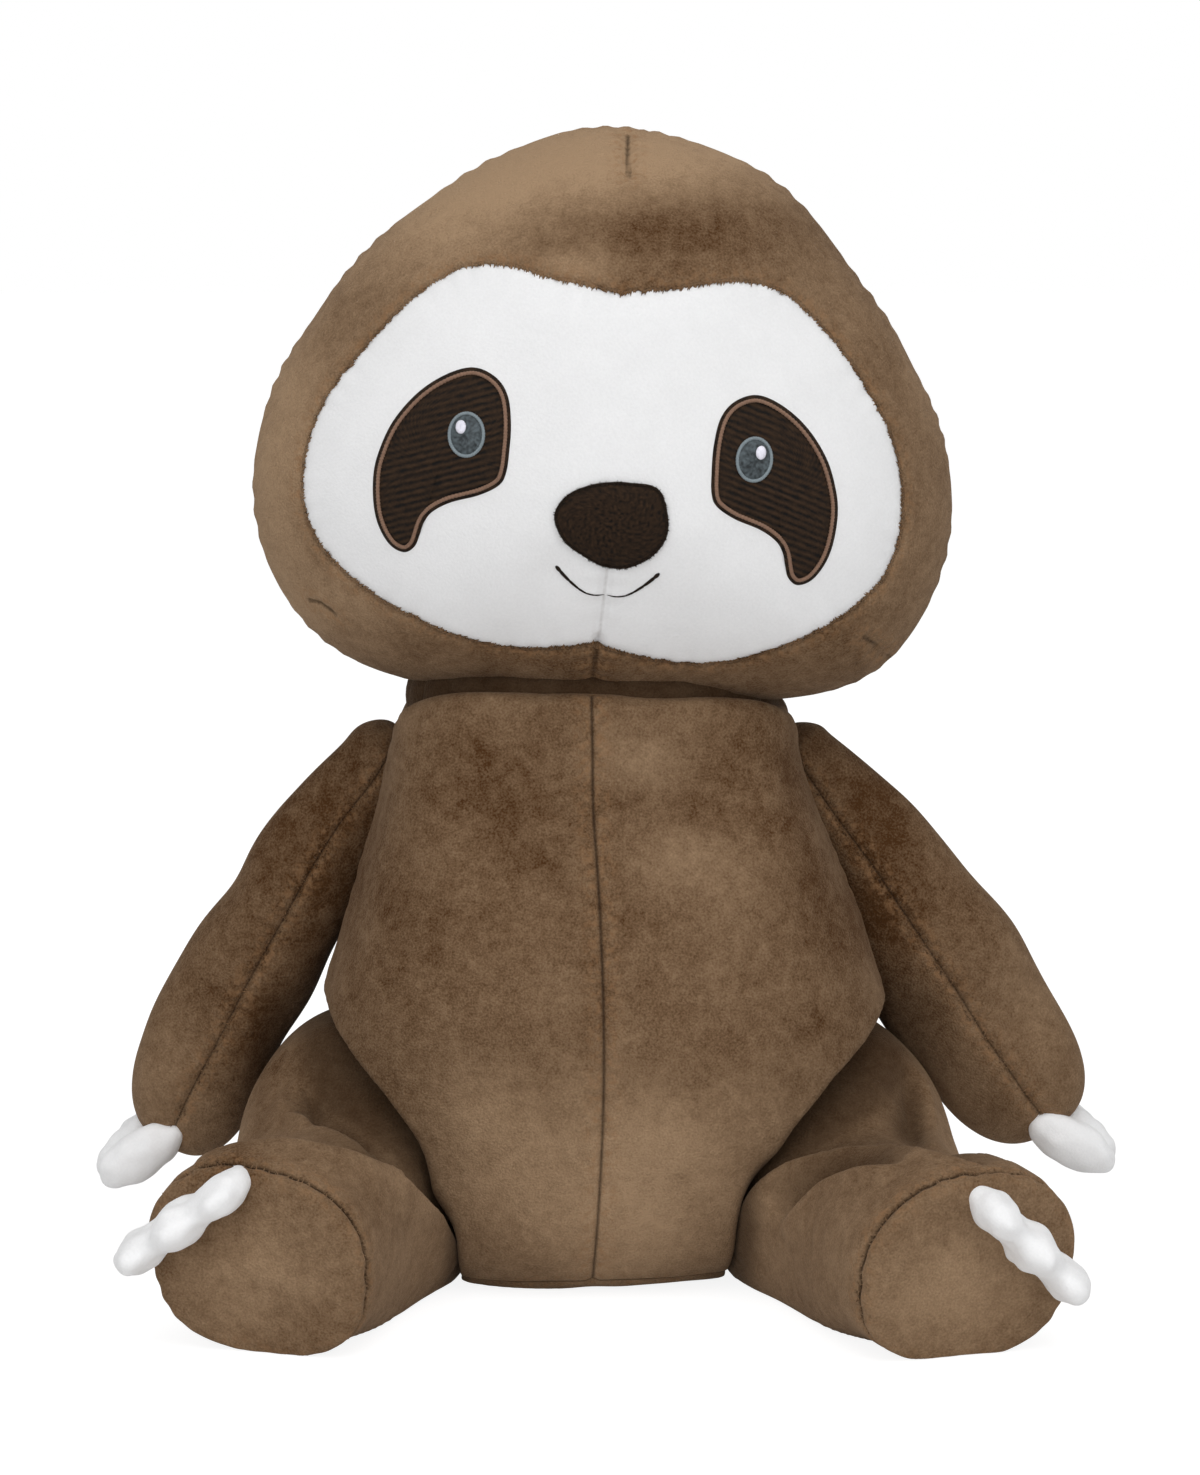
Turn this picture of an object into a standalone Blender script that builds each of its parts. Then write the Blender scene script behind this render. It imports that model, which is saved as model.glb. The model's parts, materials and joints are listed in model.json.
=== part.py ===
"""A sitting plush sloth, with its covers, stuffing, embroidery and claws as separate pieces.

Metres, +Z up. The toy looks along -Y and its own left is +X.
The origin is the middle of the flat seat, on the floor.
"""

import math

import bmesh
import bpy
from mathutils import Matrix, Vector

# Cloth and fits
CLOTH = 0.0020
FIT = 0.0003
LOOSE_FIT = 0.0004
STITCH_LIFT = 0.0005
STITCH_DEEP = 0.0006
FULL_TURN = 2 * math.pi
SHARP_TURN = math.radians(50.0)
SEAM_SHARE = 0.6
LEAST_FACING_SHARE = 0.5
BALL_SPOKES = 20
BALL_RINGS = 12

# Head, a pillow of a front and a back joined round its edge
HEAD_HALF_WIDTH = 0.0900
HEAD_HALF_HEIGHT = 0.0722
HEAD_FRONT_DEEP = 0.0520
HEAD_BACK_DEEP = 0.0500
HEAD_RISE = 0.0752
HEAD_ASIDE = -0.0015
HEAD_LEAN = math.radians(4.2)
FACE_MIDDLE_DROP = 0.0120
MUZZLE_LIFT = 0.0040
MUZZLE_DROP = 0.0300
MUZZLE_REACH = 0.0260
HEAD_SPOKES = 32
FACE_RINGS = 5
EDGE_RING = 8
# Half outlines from the top to the bottom, in shares of the head's half width and half height
HEAD_OUTLINE_SHARES = (
    (0, 1), (0.18, 0.975), (0.29, 0.93), (0.42, 0.855), (0.51, 0.775), (0.59, 0.685),
    (0.70, 0.545), (0.79, 0.39), (0.855, 0.245), (0.92, 0.105), (0.965, -0.035),
    (0.99, -0.18), (1, -0.32), (0.987, -0.465), (0.953, -0.605), (0.91, -0.705),
    (0.855, -0.795), (0.767, -0.885), (0.66, -0.945), (0.533, -0.98), (0.28, -1), (0, -1),
)
FACE_OUTLINE_SHARES = (
    (0, 0.43), (0.155, 0.463), (0.28, 0.50), (0.355, 0.51), (0.445, 0.49), (0.533, 0.42),
    (0.633, 0.297), (0.71, 0.173), (0.783, 0.04), (0.833, -0.125), (0.845, -0.263),
    (0.833, -0.387), (0.79, -0.50), (0.71, -0.595), (0.60, -0.68), (0.49, -0.74),
    (0.378, -0.79), (0.267, -0.816), (0.155, -0.806), (0.067, -0.778), (0, -0.76),
)

# Embroidery, placed from the middle of the head
EYES_SHIFT = 0.0010
MUZZLE_SHIFT = 0.0025
EYE_ASIDE = 0.0410
EYE_DROP = 0.0125
EYE_HALF_WIDTH = 0.0163
EYE_HALF_HEIGHT = 0.0232
TRIM_INSET = 0.0010
TRIM_WIDE = 0.0011
PATCH_OUTLINE_SHARES = (
    (-0.37, 0.99), (0.03, 0.89), (0.43, 0.67), (0.755, 0.36), (0.93, 0.04), (0.99, -0.215),
    (0.96, -0.52), (0.86, -0.755), (0.675, -0.94), (0.46, -1), (0.31, -0.925),
    (0.245, -0.79), (0.195, -0.66), (0.075, -0.535), (-0.185, -0.42), (-0.58, -0.32),
    (-0.86, -0.20), (-0.955, -0.065), (-0.98, 0.17), (-0.975, 0.45), (-0.90, 0.73),
    (-0.705, 0.91),
)
IRIS_ASIDE = 0.0353
IRIS_DROP = 0.0055
IRIS_HALF_WIDTH = 0.0046
IRIS_HALF_HEIGHT = 0.0057
GLINT_ASIDE = 0.0015
GLINT_RISE = 0.0018
GLINT_RADIUS = 0.0018
IRIS_POINTS = 12
GLINT_POINTS = 8
NOSE_DROP = 0.0243
NOSE_HALF_WIDTH = 0.0140
NOSE_HALF_HEIGHT = 0.0104
NOSE_DEEP = 0.0016
NOSE_OUTLINE_SHARES = (
    (0, 0.98), (0.40, 0.97), (0.78, 0.80), (0.98, 0.35), (0.98, -0.10), (0.78, -0.58),
    (0.45, -0.92), (0, -1), (-0.45, -0.92), (-0.78, -0.58), (-0.98, -0.10), (-0.98, 0.35),
    (-0.78, 0.80), (-0.40, 0.97),
)
MOUTH_HALF_WIDTH = 0.0127
MOUTH_DROP = 0.0360
MOUTH_SAG = 0.0067
MOUTH_THREAD = 0.0011
# One mouth stitch: share of the mouth's half width, and share of its sag
MOUTH_SHARES = ((0.25, 1), (0.49, 0.84), (0.66, 0.61), (0.83, 0.33), (1, 0))

# Neck, its pivot over the top of the torso
TORSO_HEIGHT = 0.1430
NECK_RISE = 0.0025
NECK_HEIGHT = TORSO_HEIGHT + NECK_RISE
NECK_RADIUS = 0.0220
GUSSET_HALF_WIDTH = 0.0380
GUSSET_HALF_DEPTH = 0.0270
GUSSET_DEEP = 0.0013
GUSSET_SPOKES = 28

# Torso
TORSO_HALF_WIDTH = 0.0760
TORSO_HALF_DEPTH = 0.0520
BELLY_SWAY = 0.0030
BELLY_FORWARD = 0.0030
TORSO_SPOKES = 24
SEAT_RING = 12
# From the top down: share of the height, of the half width and of the half depth
TORSO_SHARES = (
    (1, 0, 0), (1, 0.48, 0.58), (0.993, 0.585, 0.66), (0.97, 0.655, 0.71), (0.93, 0.70, 0.75),
    (0.84, 0.755, 0.80), (0.72, 0.835, 0.87), (0.60, 0.91, 0.94), (0.47, 0.975, 0.99),
    (0.33, 1, 1), (0.19, 0.95, 0.97), (0.075, 0.80, 0.88), (0.012, 0.60, 0.74),
    (0, 0.46, 0.62), (0, 0, 0),
)
TORSO_SQUARENESS = 2.3
SWAY_SHARE = 1.1
POUCH_HALF_WIDTH = 0.0240
POUCH_HALF_DEPTH = 0.0270
POUCH_HALF_HEIGHT = 0.0085
POUCH_SPOKES = 14
POUCH_RINGS = 8

# Limbs
GATHER_SPOKES = 12
GATHER_RINGS = 8
MOUTH_SIDES = 10
BALL_STEPS = 4
CLAW_SPOKES = 20
CLAW_RINGS = 6
CLAW_LOBE_SHARE = 0.20

# Arms
SHOULDER_ASIDE = 0.0540
SHOULDER_DROP = 0.0145
SHOULDER_HEIGHT = TORSO_HEIGHT - SHOULDER_DROP
SHOULDER_BACK = 0.0100
SHOULDER_RADIUS = 0.0115
SHOULDER_GATHER = 0.0070
ARM_LONG = 0.1170
ARM_BOW = 0.0062
ARM_FORWARD = math.radians(-4.0)
ARM_THICK = 0.0162
ARM_SPLAY = {"left": math.radians(34.5), "right": math.radians(29.5)}
ARM_RAISE = math.radians(45.0)
ARM_SWING = math.radians(55.0)
ARM_SWING_ASIDE = math.radians(30.0)
ARM_ROOT_RINGS = 8
# Past the shoulder's ball: share of the arm's length and share of its thickness
ARM_SHARES = (
    (0.12, 0.74), (0.25, 0.83), (0.40, 0.93), (0.56, 1), (0.71, 1), (0.83, 0.97),
    (0.92, 0.83), (0.98, 0.50), (1, 0),
)
ARM_SPOKES = 12
HAND_CLAW_WIDE = 0.0150
HAND_CLAW_THICK = 0.0062
HAND_CLAW_LONG = 0.0130
HAND_CLAW_REACH = 0.0020
HAND_CLAW_ASIDE = {"left": 0.0020, "right": 0.0050}
HAND_CLAW_TURN = math.radians(27.0)

# Legs
HIP_ASIDE = 0.0555
HIP_HEIGHT = 0.0335
HIP_RADIUS = 0.0340
HIP_GATHER = 0.0100
HIP_GATHER_OPEN = 0.0050
LEG_LONG = 0.0990
LEG_DROP = 0.0115
LEG_SPLAY = {"left": math.radians(19.0), "right": math.radians(15.3)}
SOLE_HALF_WIDTH = 0.0280
SOLE_HALF_HEIGHT = 0.0235
LEG_LIFT = math.radians(5.0)
LEG_LOWER = math.radians(-20.0)
LEG_SPREAD = math.radians(15.0)
LEG_SAG = 0.0050
# Past the hip's ball: shares of the leg's length, of the change to the sole's half width and
# half height, and of the sag. The leg narrows behind the foot
LEG_SHARES = (
    (0.14, 0.08, 0.10, 0), (0.28, 0.50, 0.76, 0.60), (0.42, 0.92, 1.33, 1),
    (0.58, 1.08, 1.28, 0.80), (0.75, 0.92, 0.95, 0.20), (0.90, 0.95, 0.95, 0),
)
SOLE_SHARES = ((0.975, 0.90), (0.995, 0.55), (1, 0))
LEG_SPOKES = 16
FOOT_CLAW_WIDE = 0.0178
FOOT_CLAW_THICK = 0.0048
FOOT_CLAW_LONG = 0.0125
FOOT_CLAW_ROUND = {"left": math.radians(36.0), "right": math.radians(47.0)}

# Colours and finishes: base colour, roughness
FINISHES = {
    "brown_pile": ((0.150, 0.083, 0.045, 1), 0.90),
    "white_plush": ((0.86, 0.85, 0.84, 1), 0.85),
    "dark_thread": ((0.022, 0.011, 0.007, 1), 0.70),
    "rose_thread": ((0.150, 0.062, 0.042, 1), 0.60),
    "blue_thread": ((0.075, 0.105, 0.130, 1), 0.40),
    "pale_thread": ((0.72, 0.72, 0.80, 1), 0.40),
    "fibre_fill": ((0.80, 0.80, 0.78, 1), 0.95),
    "pouch_cloth": ((0.45, 0.42, 0.36, 1), 0.90),
}
SIDES = {"left": 1, "right": -1}


def clear_scene():
    """Remove what the scene holds."""
    for thing in list(bpy.data.objects):
        bpy.data.objects.remove(thing, do_unlink=True)


def new_collection(name):
    """Link an empty collection to the scene."""
    group = bpy.data.collections.new(name)
    bpy.context.scene.collection.children.link(group)
    return group


def finish(name):
    """A principled material from the table of finishes."""
    colour, roughness = FINISHES[name]
    material = bpy.data.materials.new(name)
    material.use_nodes = True
    shader = material.node_tree.nodes["Principled BSDF"]
    shader.inputs["Base Color"].default_value = colour
    shader.inputs["Roughness"].default_value = roughness
    shader.inputs["Metallic"].default_value = 0
    material.diffuse_color = colour
    return material


def pivot(name, place, turn=None):
    """An empty on a joint, which carries the pieces that move there."""
    empty = bpy.data.objects.new(name, None)
    PARTS.objects.link(empty)
    empty.matrix_world = Matrix.Translation(place) @ (turn or Matrix())
    return empty


def make_object(name, bm, group, parent):
    """Turn a bmesh, drawn about its parent's origin, into an object."""
    mesh = bpy.data.meshes.new(name)
    bm.to_mesh(mesh)
    bm.free()
    mesh.shade_smooth()
    mesh.set_sharp_from_angle(angle=SHARP_TURN)
    thing = bpy.data.objects.new(name, mesh)
    group.objects.link(thing)
    thing.parent = parent
    return thing


def piece(name, bm, finish_name, parent):
    """A named sub-part with a material of its own."""
    thing = make_object(name, bm, PARTS, parent)
    material = finish(finish_name)
    material.name = name + "_" + finish_name
    thing.data.materials.append(material)
    return thing


def cutter(name, bm, parent):
    """A shape that only takes room out of others."""
    thing = make_object(name, bm, CUTTERS, parent)
    thing.hide_render = True
    thing.display_type = "WIRE"
    return thing


def cut(things, *tools):
    """Take each tool's room out of each thing."""
    for thing in things:
        for tool in tools:
            step = thing.modifiers.new("room_for_" + tool.name, "BOOLEAN")
            step.operation = "DIFFERENCE"
            step.solver = "EXACT"
            step.object = tool


def smooth_at(table, at):
    """The value at a place in a rising table of (place, value), by a smooth curve."""
    last = len(table) - 1
    low = 0
    while low < last - 1 and table[low + 1][0] < at:
        low += 1

    def slope(index):
        before, after = table[max(index - 1, 0)], table[min(index + 1, last)]
        return (after[1] - before[1]) / (after[0] - before[0])

    (start, first), (end, second) = table[low], table[low + 1]
    span = end - start
    share = min(max((at - start) / span, 0), 1)
    square, cube = share**2, share**3
    return (
        first * (2 * cube - 3 * square + 1)
        + slope(low) * span * (cube - 2 * square + share)
        + second * (3 * square - 2 * cube)
        + slope(low + 1) * span * (cube - square)
    )


def polar_table(shares):
    """A half outline as (turn from straight down, reach from the middle of the face)."""
    table = []
    for across, up in reversed(shares):
        x = across * HEAD_HALF_WIDTH
        z = up * HEAD_HALF_HEIGHT + FACE_MIDDLE_DROP
        table.append((math.atan2(x, -z), math.hypot(x, z)))
    return table


def outline_reach(table, turn):
    """How far an outline lies from the middle of the face, the same on both sides."""
    from_down = abs(math.remainder(turn + math.pi / 2, FULL_TURN))
    return smooth_at(table, from_down)


def face_depth(x, z):
    """How far forward the head's front stands, at a place from the middle of the head."""
    up = z + FACE_MIDDLE_DROP
    edge = outline_reach(HEAD_EDGE, math.atan2(up, x))
    share = min(math.hypot(x, up) / edge, 1)
    away = math.hypot(x, z + MUZZLE_DROP) / MUZZLE_REACH
    muzzle = MUZZLE_LIFT * math.exp(-(away**2)) * (1 - share)
    return HEAD_FRONT_DEEP * math.sqrt(1 - share**2) + muzzle


def closed_form(spokes, rings, place):
    """A closed form: a ball's grid whose points go where place(turn, ring) puts them.

    Each point keeps the way into the form, scaled so that a step along it
    moves every face next to it by at least that step.
    """
    bm = bmesh.new()
    bmesh.ops.create_uvsphere(bm, u_segments=spokes, v_segments=rings, radius=1)
    ring_of = bm.verts.layers.int.new("ring")
    inward = bm.verts.layers.float_vector.new("inward")
    for vert in bm.verts:
        drop = math.acos(min(max(vert.co.z, -1), 1)) / math.pi
        vert[ring_of] = round(drop * rings)
        turn = math.atan2(vert.co.y, vert.co.x)
        vert.co = place(turn, vert[ring_of])
    bmesh.ops.triangulate(bm, faces=bm.faces[:])
    bmesh.ops.recalc_face_normals(bm, faces=bm.faces[:])
    bm.normal_update()
    for vert in bm.verts:
        least = min(vert.normal.dot(face.normal) for face in vert.link_faces)
        vert[inward] = -vert.normal / max(least, LEAST_FACING_SHARE)
    return bm


def inward_layer(bm):
    """The layer that holds each point's way into the form."""
    return bm.verts.layers.float_vector["inward"]


def face_ring(bm, face):
    """The ring that a face starts from, counted from the first pole."""
    ring_of = bm.verts.layers.int["ring"]
    return min(vert[ring_of] for vert in face.verts)


def core(form, inset):
    """The form with its surface moved in by the inset, or out where it is negative."""
    bm = form.copy()
    inward = inward_layer(bm)
    for vert in bm.verts:
        vert.co += vert[inward] * inset
    return bm


def panel(form, wanted):
    """The stretch of cover over the wanted faces, drawn back a little from its seams."""
    bm = form.copy()
    spare = [face for face in bm.faces if not wanted(bm, face)]
    bmesh.ops.delete(bm, geom=spare, context="FACES")
    inward = inward_layer(bm)
    shifts = []
    for vert in bm.verts:
        rims = [edge.other_vert(vert) for edge in vert.link_edges if edge.is_boundary]
        if len(rims) != 2:
            continue
        along = (rims[0].co - rims[1].co).normalized()
        inside = Vector()
        for face in vert.link_faces:
            inside += face.calc_center_median() - vert.co
        out = -vert[inward].normalized()
        inside -= along * inside.dot(along) + out * inside.dot(out)
        shifts.append((vert, inside.normalized() * FIT * SEAM_SHARE))
    for vert, shift in shifts:
        vert.co += shift
    wall = bmesh.ops.extrude_face_region(bm, geom=bm.faces[:], use_keep_orig=True)
    for vert in wall["geom"]:
        if isinstance(vert, bmesh.types.BMVert):
            vert.co += vert[inward] * CLOTH
    bmesh.ops.recalc_face_normals(bm, faces=bm.faces[:])
    return bm


def ball(radius, spokes=BALL_SPOKES, rings=BALL_RINGS):
    """A round ball with its points on the radius."""
    bm = bmesh.new()
    bmesh.ops.create_uvsphere(bm, u_segments=spokes, v_segments=rings, radius=radius)
    return bm


def room(radius, spokes=BALL_SPOKES, rings=BALL_RINGS):
    """A ball whose flattest face still clears the radius by the loose fit."""
    least = math.cos(math.pi / spokes) * math.cos(math.pi / rings / 2)
    return ball((radius + LOOSE_FIT) / least, spokes, rings)


def moved(bm, matrix):
    """The same mesh, placed by a matrix."""
    bmesh.ops.transform(bm, matrix=matrix, verts=bm.verts[:])
    return bm


# Head and face


def head_place(turn, ring):
    """Where a point of the head lies, by its spoke and its ring from the tip of the face."""
    edge = outline_reach(HEAD_EDGE, turn)
    face = outline_reach(FACE_EDGE, turn)
    if ring <= FACE_RINGS:
        reach = face * ring / FACE_RINGS
    elif ring <= EDGE_RING:
        share = (ring - FACE_RINGS) / (EDGE_RING - FACE_RINGS)
        reach = face + (edge - face) * math.sin(share * math.pi / 2)
    else:
        reach = edge * math.sin((2 * EDGE_RING - ring) / EDGE_RING * math.pi / 2)
    x = reach * math.cos(turn)
    z = reach * math.sin(turn) - FACE_MIDDLE_DROP
    if ring < EDGE_RING:
        return Vector((x + HEAD_ASIDE, -face_depth(x, z), z + HEAD_RISE))
    back = HEAD_BACK_DEEP * math.sqrt(max(1 - (reach / edge) ** 2, 0))
    return Vector((x + HEAD_ASIDE, back, z + HEAD_RISE))


def on_face(x, z, lift):
    """A point on the head's front, lifted off it, from the middle of the head."""
    return Vector((x + HEAD_ASIDE, -face_depth(x, z) - lift, z + HEAD_RISE))


def thicken_forwards(bm, deep):
    """Give an open patch that lies on the face its thickness."""
    wall = bmesh.ops.extrude_face_region(bm, geom=bm.faces[:], use_keep_orig=True)
    for vert in wall["geom"]:
        if isinstance(vert, bmesh.types.BMVert):
            vert.co.y -= deep
    bmesh.ops.recalc_face_normals(bm, faces=bm.faces[:])
    return bm


def patch(middle, outline, lift, deep, steps=1):
    """A closed outline filled with stitches that follow the face."""
    bm = bmesh.new()
    bmesh.ops.create_circle(bm, cap_ends=True, cap_tris=True, segments=len(outline), radius=1)
    spokes = [edge for edge in bm.edges if not edge.is_boundary]
    bmesh.ops.subdivide_edges(bm, edges=spokes, cuts=steps, use_grid_fill=False)
    bmesh.ops.triangulate(bm, faces=bm.faces[:])
    for vert in bm.verts:
        share = min(vert.co.length, 1)
        index = round(math.atan2(vert.co.x, vert.co.y) / FULL_TURN * len(outline))
        x, z = outline[index % len(outline)]
        x = middle[0] + (x - middle[0]) * share
        z = middle[1] + (z - middle[1]) * share
        vert.co = on_face(x, z, lift)
    return thicken_forwards(bm, deep)


def band(inner, outer, lift, deep):
    """A closed strip of stitches between two outlines with as many points."""
    bm = bmesh.new()
    bmesh.ops.create_circle(bm, cap_ends=False, segments=len(inner), radius=1)
    rim = bmesh.ops.extrude_edge_only(bm, edges=bm.edges[:])
    far = {vert for vert in rim["geom"] if isinstance(vert, bmesh.types.BMVert)}
    for vert in bm.verts:
        index = round(math.atan2(vert.co.x, vert.co.y) / FULL_TURN * len(inner))
        x, z = (outer if vert in far else inner)[index % len(inner)]
        vert.co = on_face(x, z, lift)
    return thicken_forwards(bm, deep)


def drawn_in(outline, inset):
    """An outline moved in by the inset, square to its own run."""
    count = len(outline)
    points = []
    for index, (x, z) in enumerate(outline):
        before, after = outline[index - 1], outline[(index + 1) % count]
        along = Vector((after[0] - before[0], after[1] - before[1])).normalized()
        points.append((x + along.y * inset, z - along.x * inset))
    return points


def ellipse(x, z, half_width, half_height, count):
    """An ellipse's points, clockwise from its top."""
    turns = [FULL_TURN * index / count for index in range(count)]
    return [(x + half_width * math.sin(t), z + half_height * math.cos(t)) for t in turns]


def eye(side, parent):
    """One eye: its patch, the trim inset in it, the iris and its glint."""
    sign = SIDES[side]
    middle = (EYES_SHIFT + sign * EYE_ASIDE, -EYE_DROP)
    outline = [
        (middle[0] + sign * across * EYE_HALF_WIDTH, middle[1] + up * EYE_HALF_HEIGHT)
        for across, up in PATCH_OUTLINE_SHARES
    ]
    inner = drawn_in(outline, sign * (TRIM_INSET + TRIM_WIDE))
    outer = drawn_in(outline, sign * TRIM_INSET)
    first = STITCH_LIFT
    second = first + STITCH_DEEP + FIT
    third = second + STITCH_DEEP + FIT
    bm = patch(middle, outline, first, STITCH_DEEP)
    piece(side + "_eye_patch", bm, "dark_thread", parent)
    bm = band(inner, outer, second, STITCH_DEEP)
    piece(side + "_eye_trim", bm, "rose_thread", parent)
    x = EYES_SHIFT + sign * IRIS_ASIDE
    ring = ellipse(x, -IRIS_DROP, IRIS_HALF_WIDTH, IRIS_HALF_HEIGHT, IRIS_POINTS)
    bm = patch((x, -IRIS_DROP), ring, second, STITCH_DEEP, 0)
    piece(side + "_iris", bm, "blue_thread", parent)
    spot = (x + sign * GLINT_ASIDE, GLINT_RISE - IRIS_DROP)
    bm = patch(spot, ellipse(*spot, GLINT_RADIUS, GLINT_RADIUS, GLINT_POINTS), third, STITCH_DEEP, 0)
    piece(side + "_eye_glint", bm, "pale_thread", parent)


def nose(parent):
    """The fuzzy nose, sewn on over the muzzle."""
    outline = [
        (MUZZLE_SHIFT + across * NOSE_HALF_WIDTH, up * NOSE_HALF_HEIGHT - NOSE_DROP)
        for across, up in NOSE_OUTLINE_SHARES
    ]
    bm = patch((MUZZLE_SHIFT, -NOSE_DROP), outline, STITCH_LIFT, NOSE_DEEP)
    piece("nose", bm, "dark_thread", parent)


def mouth_stitch(side, parent):
    """One stroke of the smile."""
    bm = bmesh.new()
    last = len(MOUTH_SHARES) - 1
    bmesh.ops.create_grid(bm, x_segments=last, y_segments=1, size=1)
    for vert in bm.verts:
        across, down = MOUTH_SHARES[round((vert.co.x + 1) / 2 * last)]
        x = MUZZLE_SHIFT + SIDES[side] * across * MOUTH_HALF_WIDTH
        z = -MOUTH_DROP - down * MOUTH_SAG + vert.co.y * MOUTH_THREAD / 2
        vert.co = on_face(x, z, STITCH_LIFT)
    thicken_forwards(bm, STITCH_DEEP)
    piece(side + "_mouth_stitch", bm, "dark_thread", parent)


def head(parent):
    """The head's covers, face, stuffing and embroidery, about the neck's pivot."""
    form = closed_form(HEAD_SPOKES, 2 * EDGE_RING, head_place)
    front = panel(form, lambda bm, face: FACE_RINGS <= face_ring(bm, face) < EDGE_RING)
    back = panel(form, lambda bm, face: face_ring(bm, face) >= EDGE_RING)
    white = panel(form, lambda bm, face: face_ring(bm, face) < FACE_RINGS)
    pieces = [
        piece("head_front_cover", front, "brown_pile", parent),
        piece("head_back_cover", back, "brown_pile", parent),
        piece("head_stuffing", core(form, CLOTH + FIT), "fibre_fill", parent),
    ]
    piece("face_panel", white, "white_plush", parent)
    for side in SIDES:
        eye(side, parent)
        mouth_stitch(side, parent)
    nose(parent)
    return pieces


# Torso


def torso_place(turn, ring):
    """Where a point of the torso lies, by its spoke and its ring from the top."""
    up, wide, deep = TORSO_SHARES[ring]
    cosine, sine = math.cos(turn), math.sin(turn)
    spread = (abs(cosine) ** TORSO_SQUARENESS + abs(sine) ** TORSO_SQUARENESS) ** (
        -1 / TORSO_SQUARENESS
    )
    swell = torso_sway(up * TORSO_HEIGHT)
    x = cosine * spread * wide * TORSO_HALF_WIDTH + BELLY_SWAY * swell
    y = sine * spread * deep * TORSO_HALF_DEPTH - BELLY_FORWARD * swell
    return Vector((x, y, up * TORSO_HEIGHT))


def torso(parent):
    """The torso's panels and stuffing, with the pouch of beans in its seat."""
    rings = len(TORSO_SHARES) - 1
    form = closed_form(TORSO_SPOKES, rings, torso_place)

    def in_front(bm, face, sign):
        middle = face.calc_center_median()
        sway = torso_sway(middle.z)
        ahead = middle.y < -BELLY_FORWARD * sway
        aside = (middle.x - BELLY_SWAY * sway) * sign > 0
        return ahead and aside and face_ring(bm, face) < SEAT_RING

    def behind(bm, face):
        middle = face.calc_center_median()
        ahead = middle.y < -BELLY_FORWARD * torso_sway(middle.z)
        return not ahead and face_ring(bm, face) < SEAT_RING

    pieces = []
    for side, sign in SIDES.items():
        front = panel(form, lambda bm, face, sign=sign: in_front(bm, face, sign))
        pieces.append(piece("torso_" + side + "_front", front, "brown_pile", parent))
    pieces.append(piece("torso_back", panel(form, behind), "brown_pile", parent))
    seat = panel(form, lambda bm, face: face_ring(bm, face) >= SEAT_RING)
    pieces.append(piece("seat_panel", seat, "brown_pile", parent))
    stuffing = piece("torso_stuffing", core(form, CLOTH + FIT), "fibre_fill", parent)
    pieces.append(stuffing)
    size = (POUCH_HALF_WIDTH, POUCH_HALF_DEPTH, POUCH_HALF_HEIGHT)
    place = Matrix.Translation((0, 0, CLOTH + FIT + POUCH_HALF_HEIGHT))
    pouch = moved(ball(1, POUCH_SPOKES, POUCH_RINGS), place @ Matrix.Diagonal((*size, 1)))
    piece("bean_pouch", pouch, "pouch_cloth", parent)
    grown = [side + 2 * FIT for side in size]
    hollow = moved(ball(1, POUCH_SPOKES, POUCH_RINGS), place @ Matrix.Diagonal((*grown, 1)))
    cut([stuffing], cutter("pouch_hollow", hollow, parent))
    return pieces


def torso_sway(height):
    """How far the belly's swell has got at a height, from 0 at the seat."""
    return math.sin(math.pi * min(height / TORSO_HEIGHT * SWAY_SHARE, 1))


# Limbs


def tube_form(spokes, stations, run, aside, across, first_turn=0):
    """A closed limb about its pivot: a ring at each station along its run.

    A station is (way along, half width aside, half width across, shift off the run).
    """

    def place(turn, ring):
        along, wide, high, shift = stations[ring]
        turn += first_turn
        return run * along + shift + aside * (wide * math.cos(turn)) + across * (
            high * math.sin(turn)
        )

    return closed_form(spokes, len(stations) - 1, place)


def swept_room(form, turns, last_ring=None):
    """The hull of a form, or of its first rings, let out by the fit at each of its turns."""
    bm = bmesh.new()
    ring_of = form.verts.layers.int["ring"]
    inward = inward_layer(form)
    for turn in turns:
        for vert in form.verts:
            if last_ring is None or vert[ring_of] <= last_ring:
                bm.verts.new(turn @ (vert.co - vert[inward] * LOOSE_FIT))
    hull = bmesh.ops.convex_hull(bm, input=bm.verts[:])
    loose = [item for item in hull["geom_interior"] if isinstance(item, bmesh.types.BMVert)]
    bmesh.ops.delete(bm, geom=loose, context="VERTS")
    return bm


def ball_stations(radius):
    """The rings of the half ball that starts a limb, behind its pivot."""
    turns = [index / BALL_STEPS * math.pi / 2 for index in range(BALL_STEPS + 1)]
    return [
        (-radius * math.cos(t), radius * math.sin(t), radius * math.sin(t), Vector())
        for t in turns
    ]


def claw_form(wide, thick, long):
    """Three soft lobes side by side: X is outwards, Y across and Z through."""
    bm = bmesh.new()
    bmesh.ops.create_uvsphere(bm, u_segments=CLAW_SPOKES, v_segments=CLAW_RINGS, radius=1)
    for vert in bm.verts:
        x, y, z = vert.co
        lobe = 1 - CLAW_LOBE_SHARE * (1 - abs(math.cos(1.5 * math.pi * y)))
        vert.co = Vector((x * long * lobe, y * wide, z * thick * lobe))
    return bm


def columns(first, second, third, place):
    """A matrix from three directions and a place."""
    turn = Matrix((first, second, third)).transposed().to_4x4()
    return Matrix.Translation(place) @ turn


def bow_at(share):
    """How far the arm's middle line stands off the straight, at a share of its length."""
    return ARM_BOW * 4 * share * (1 - share)


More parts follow.
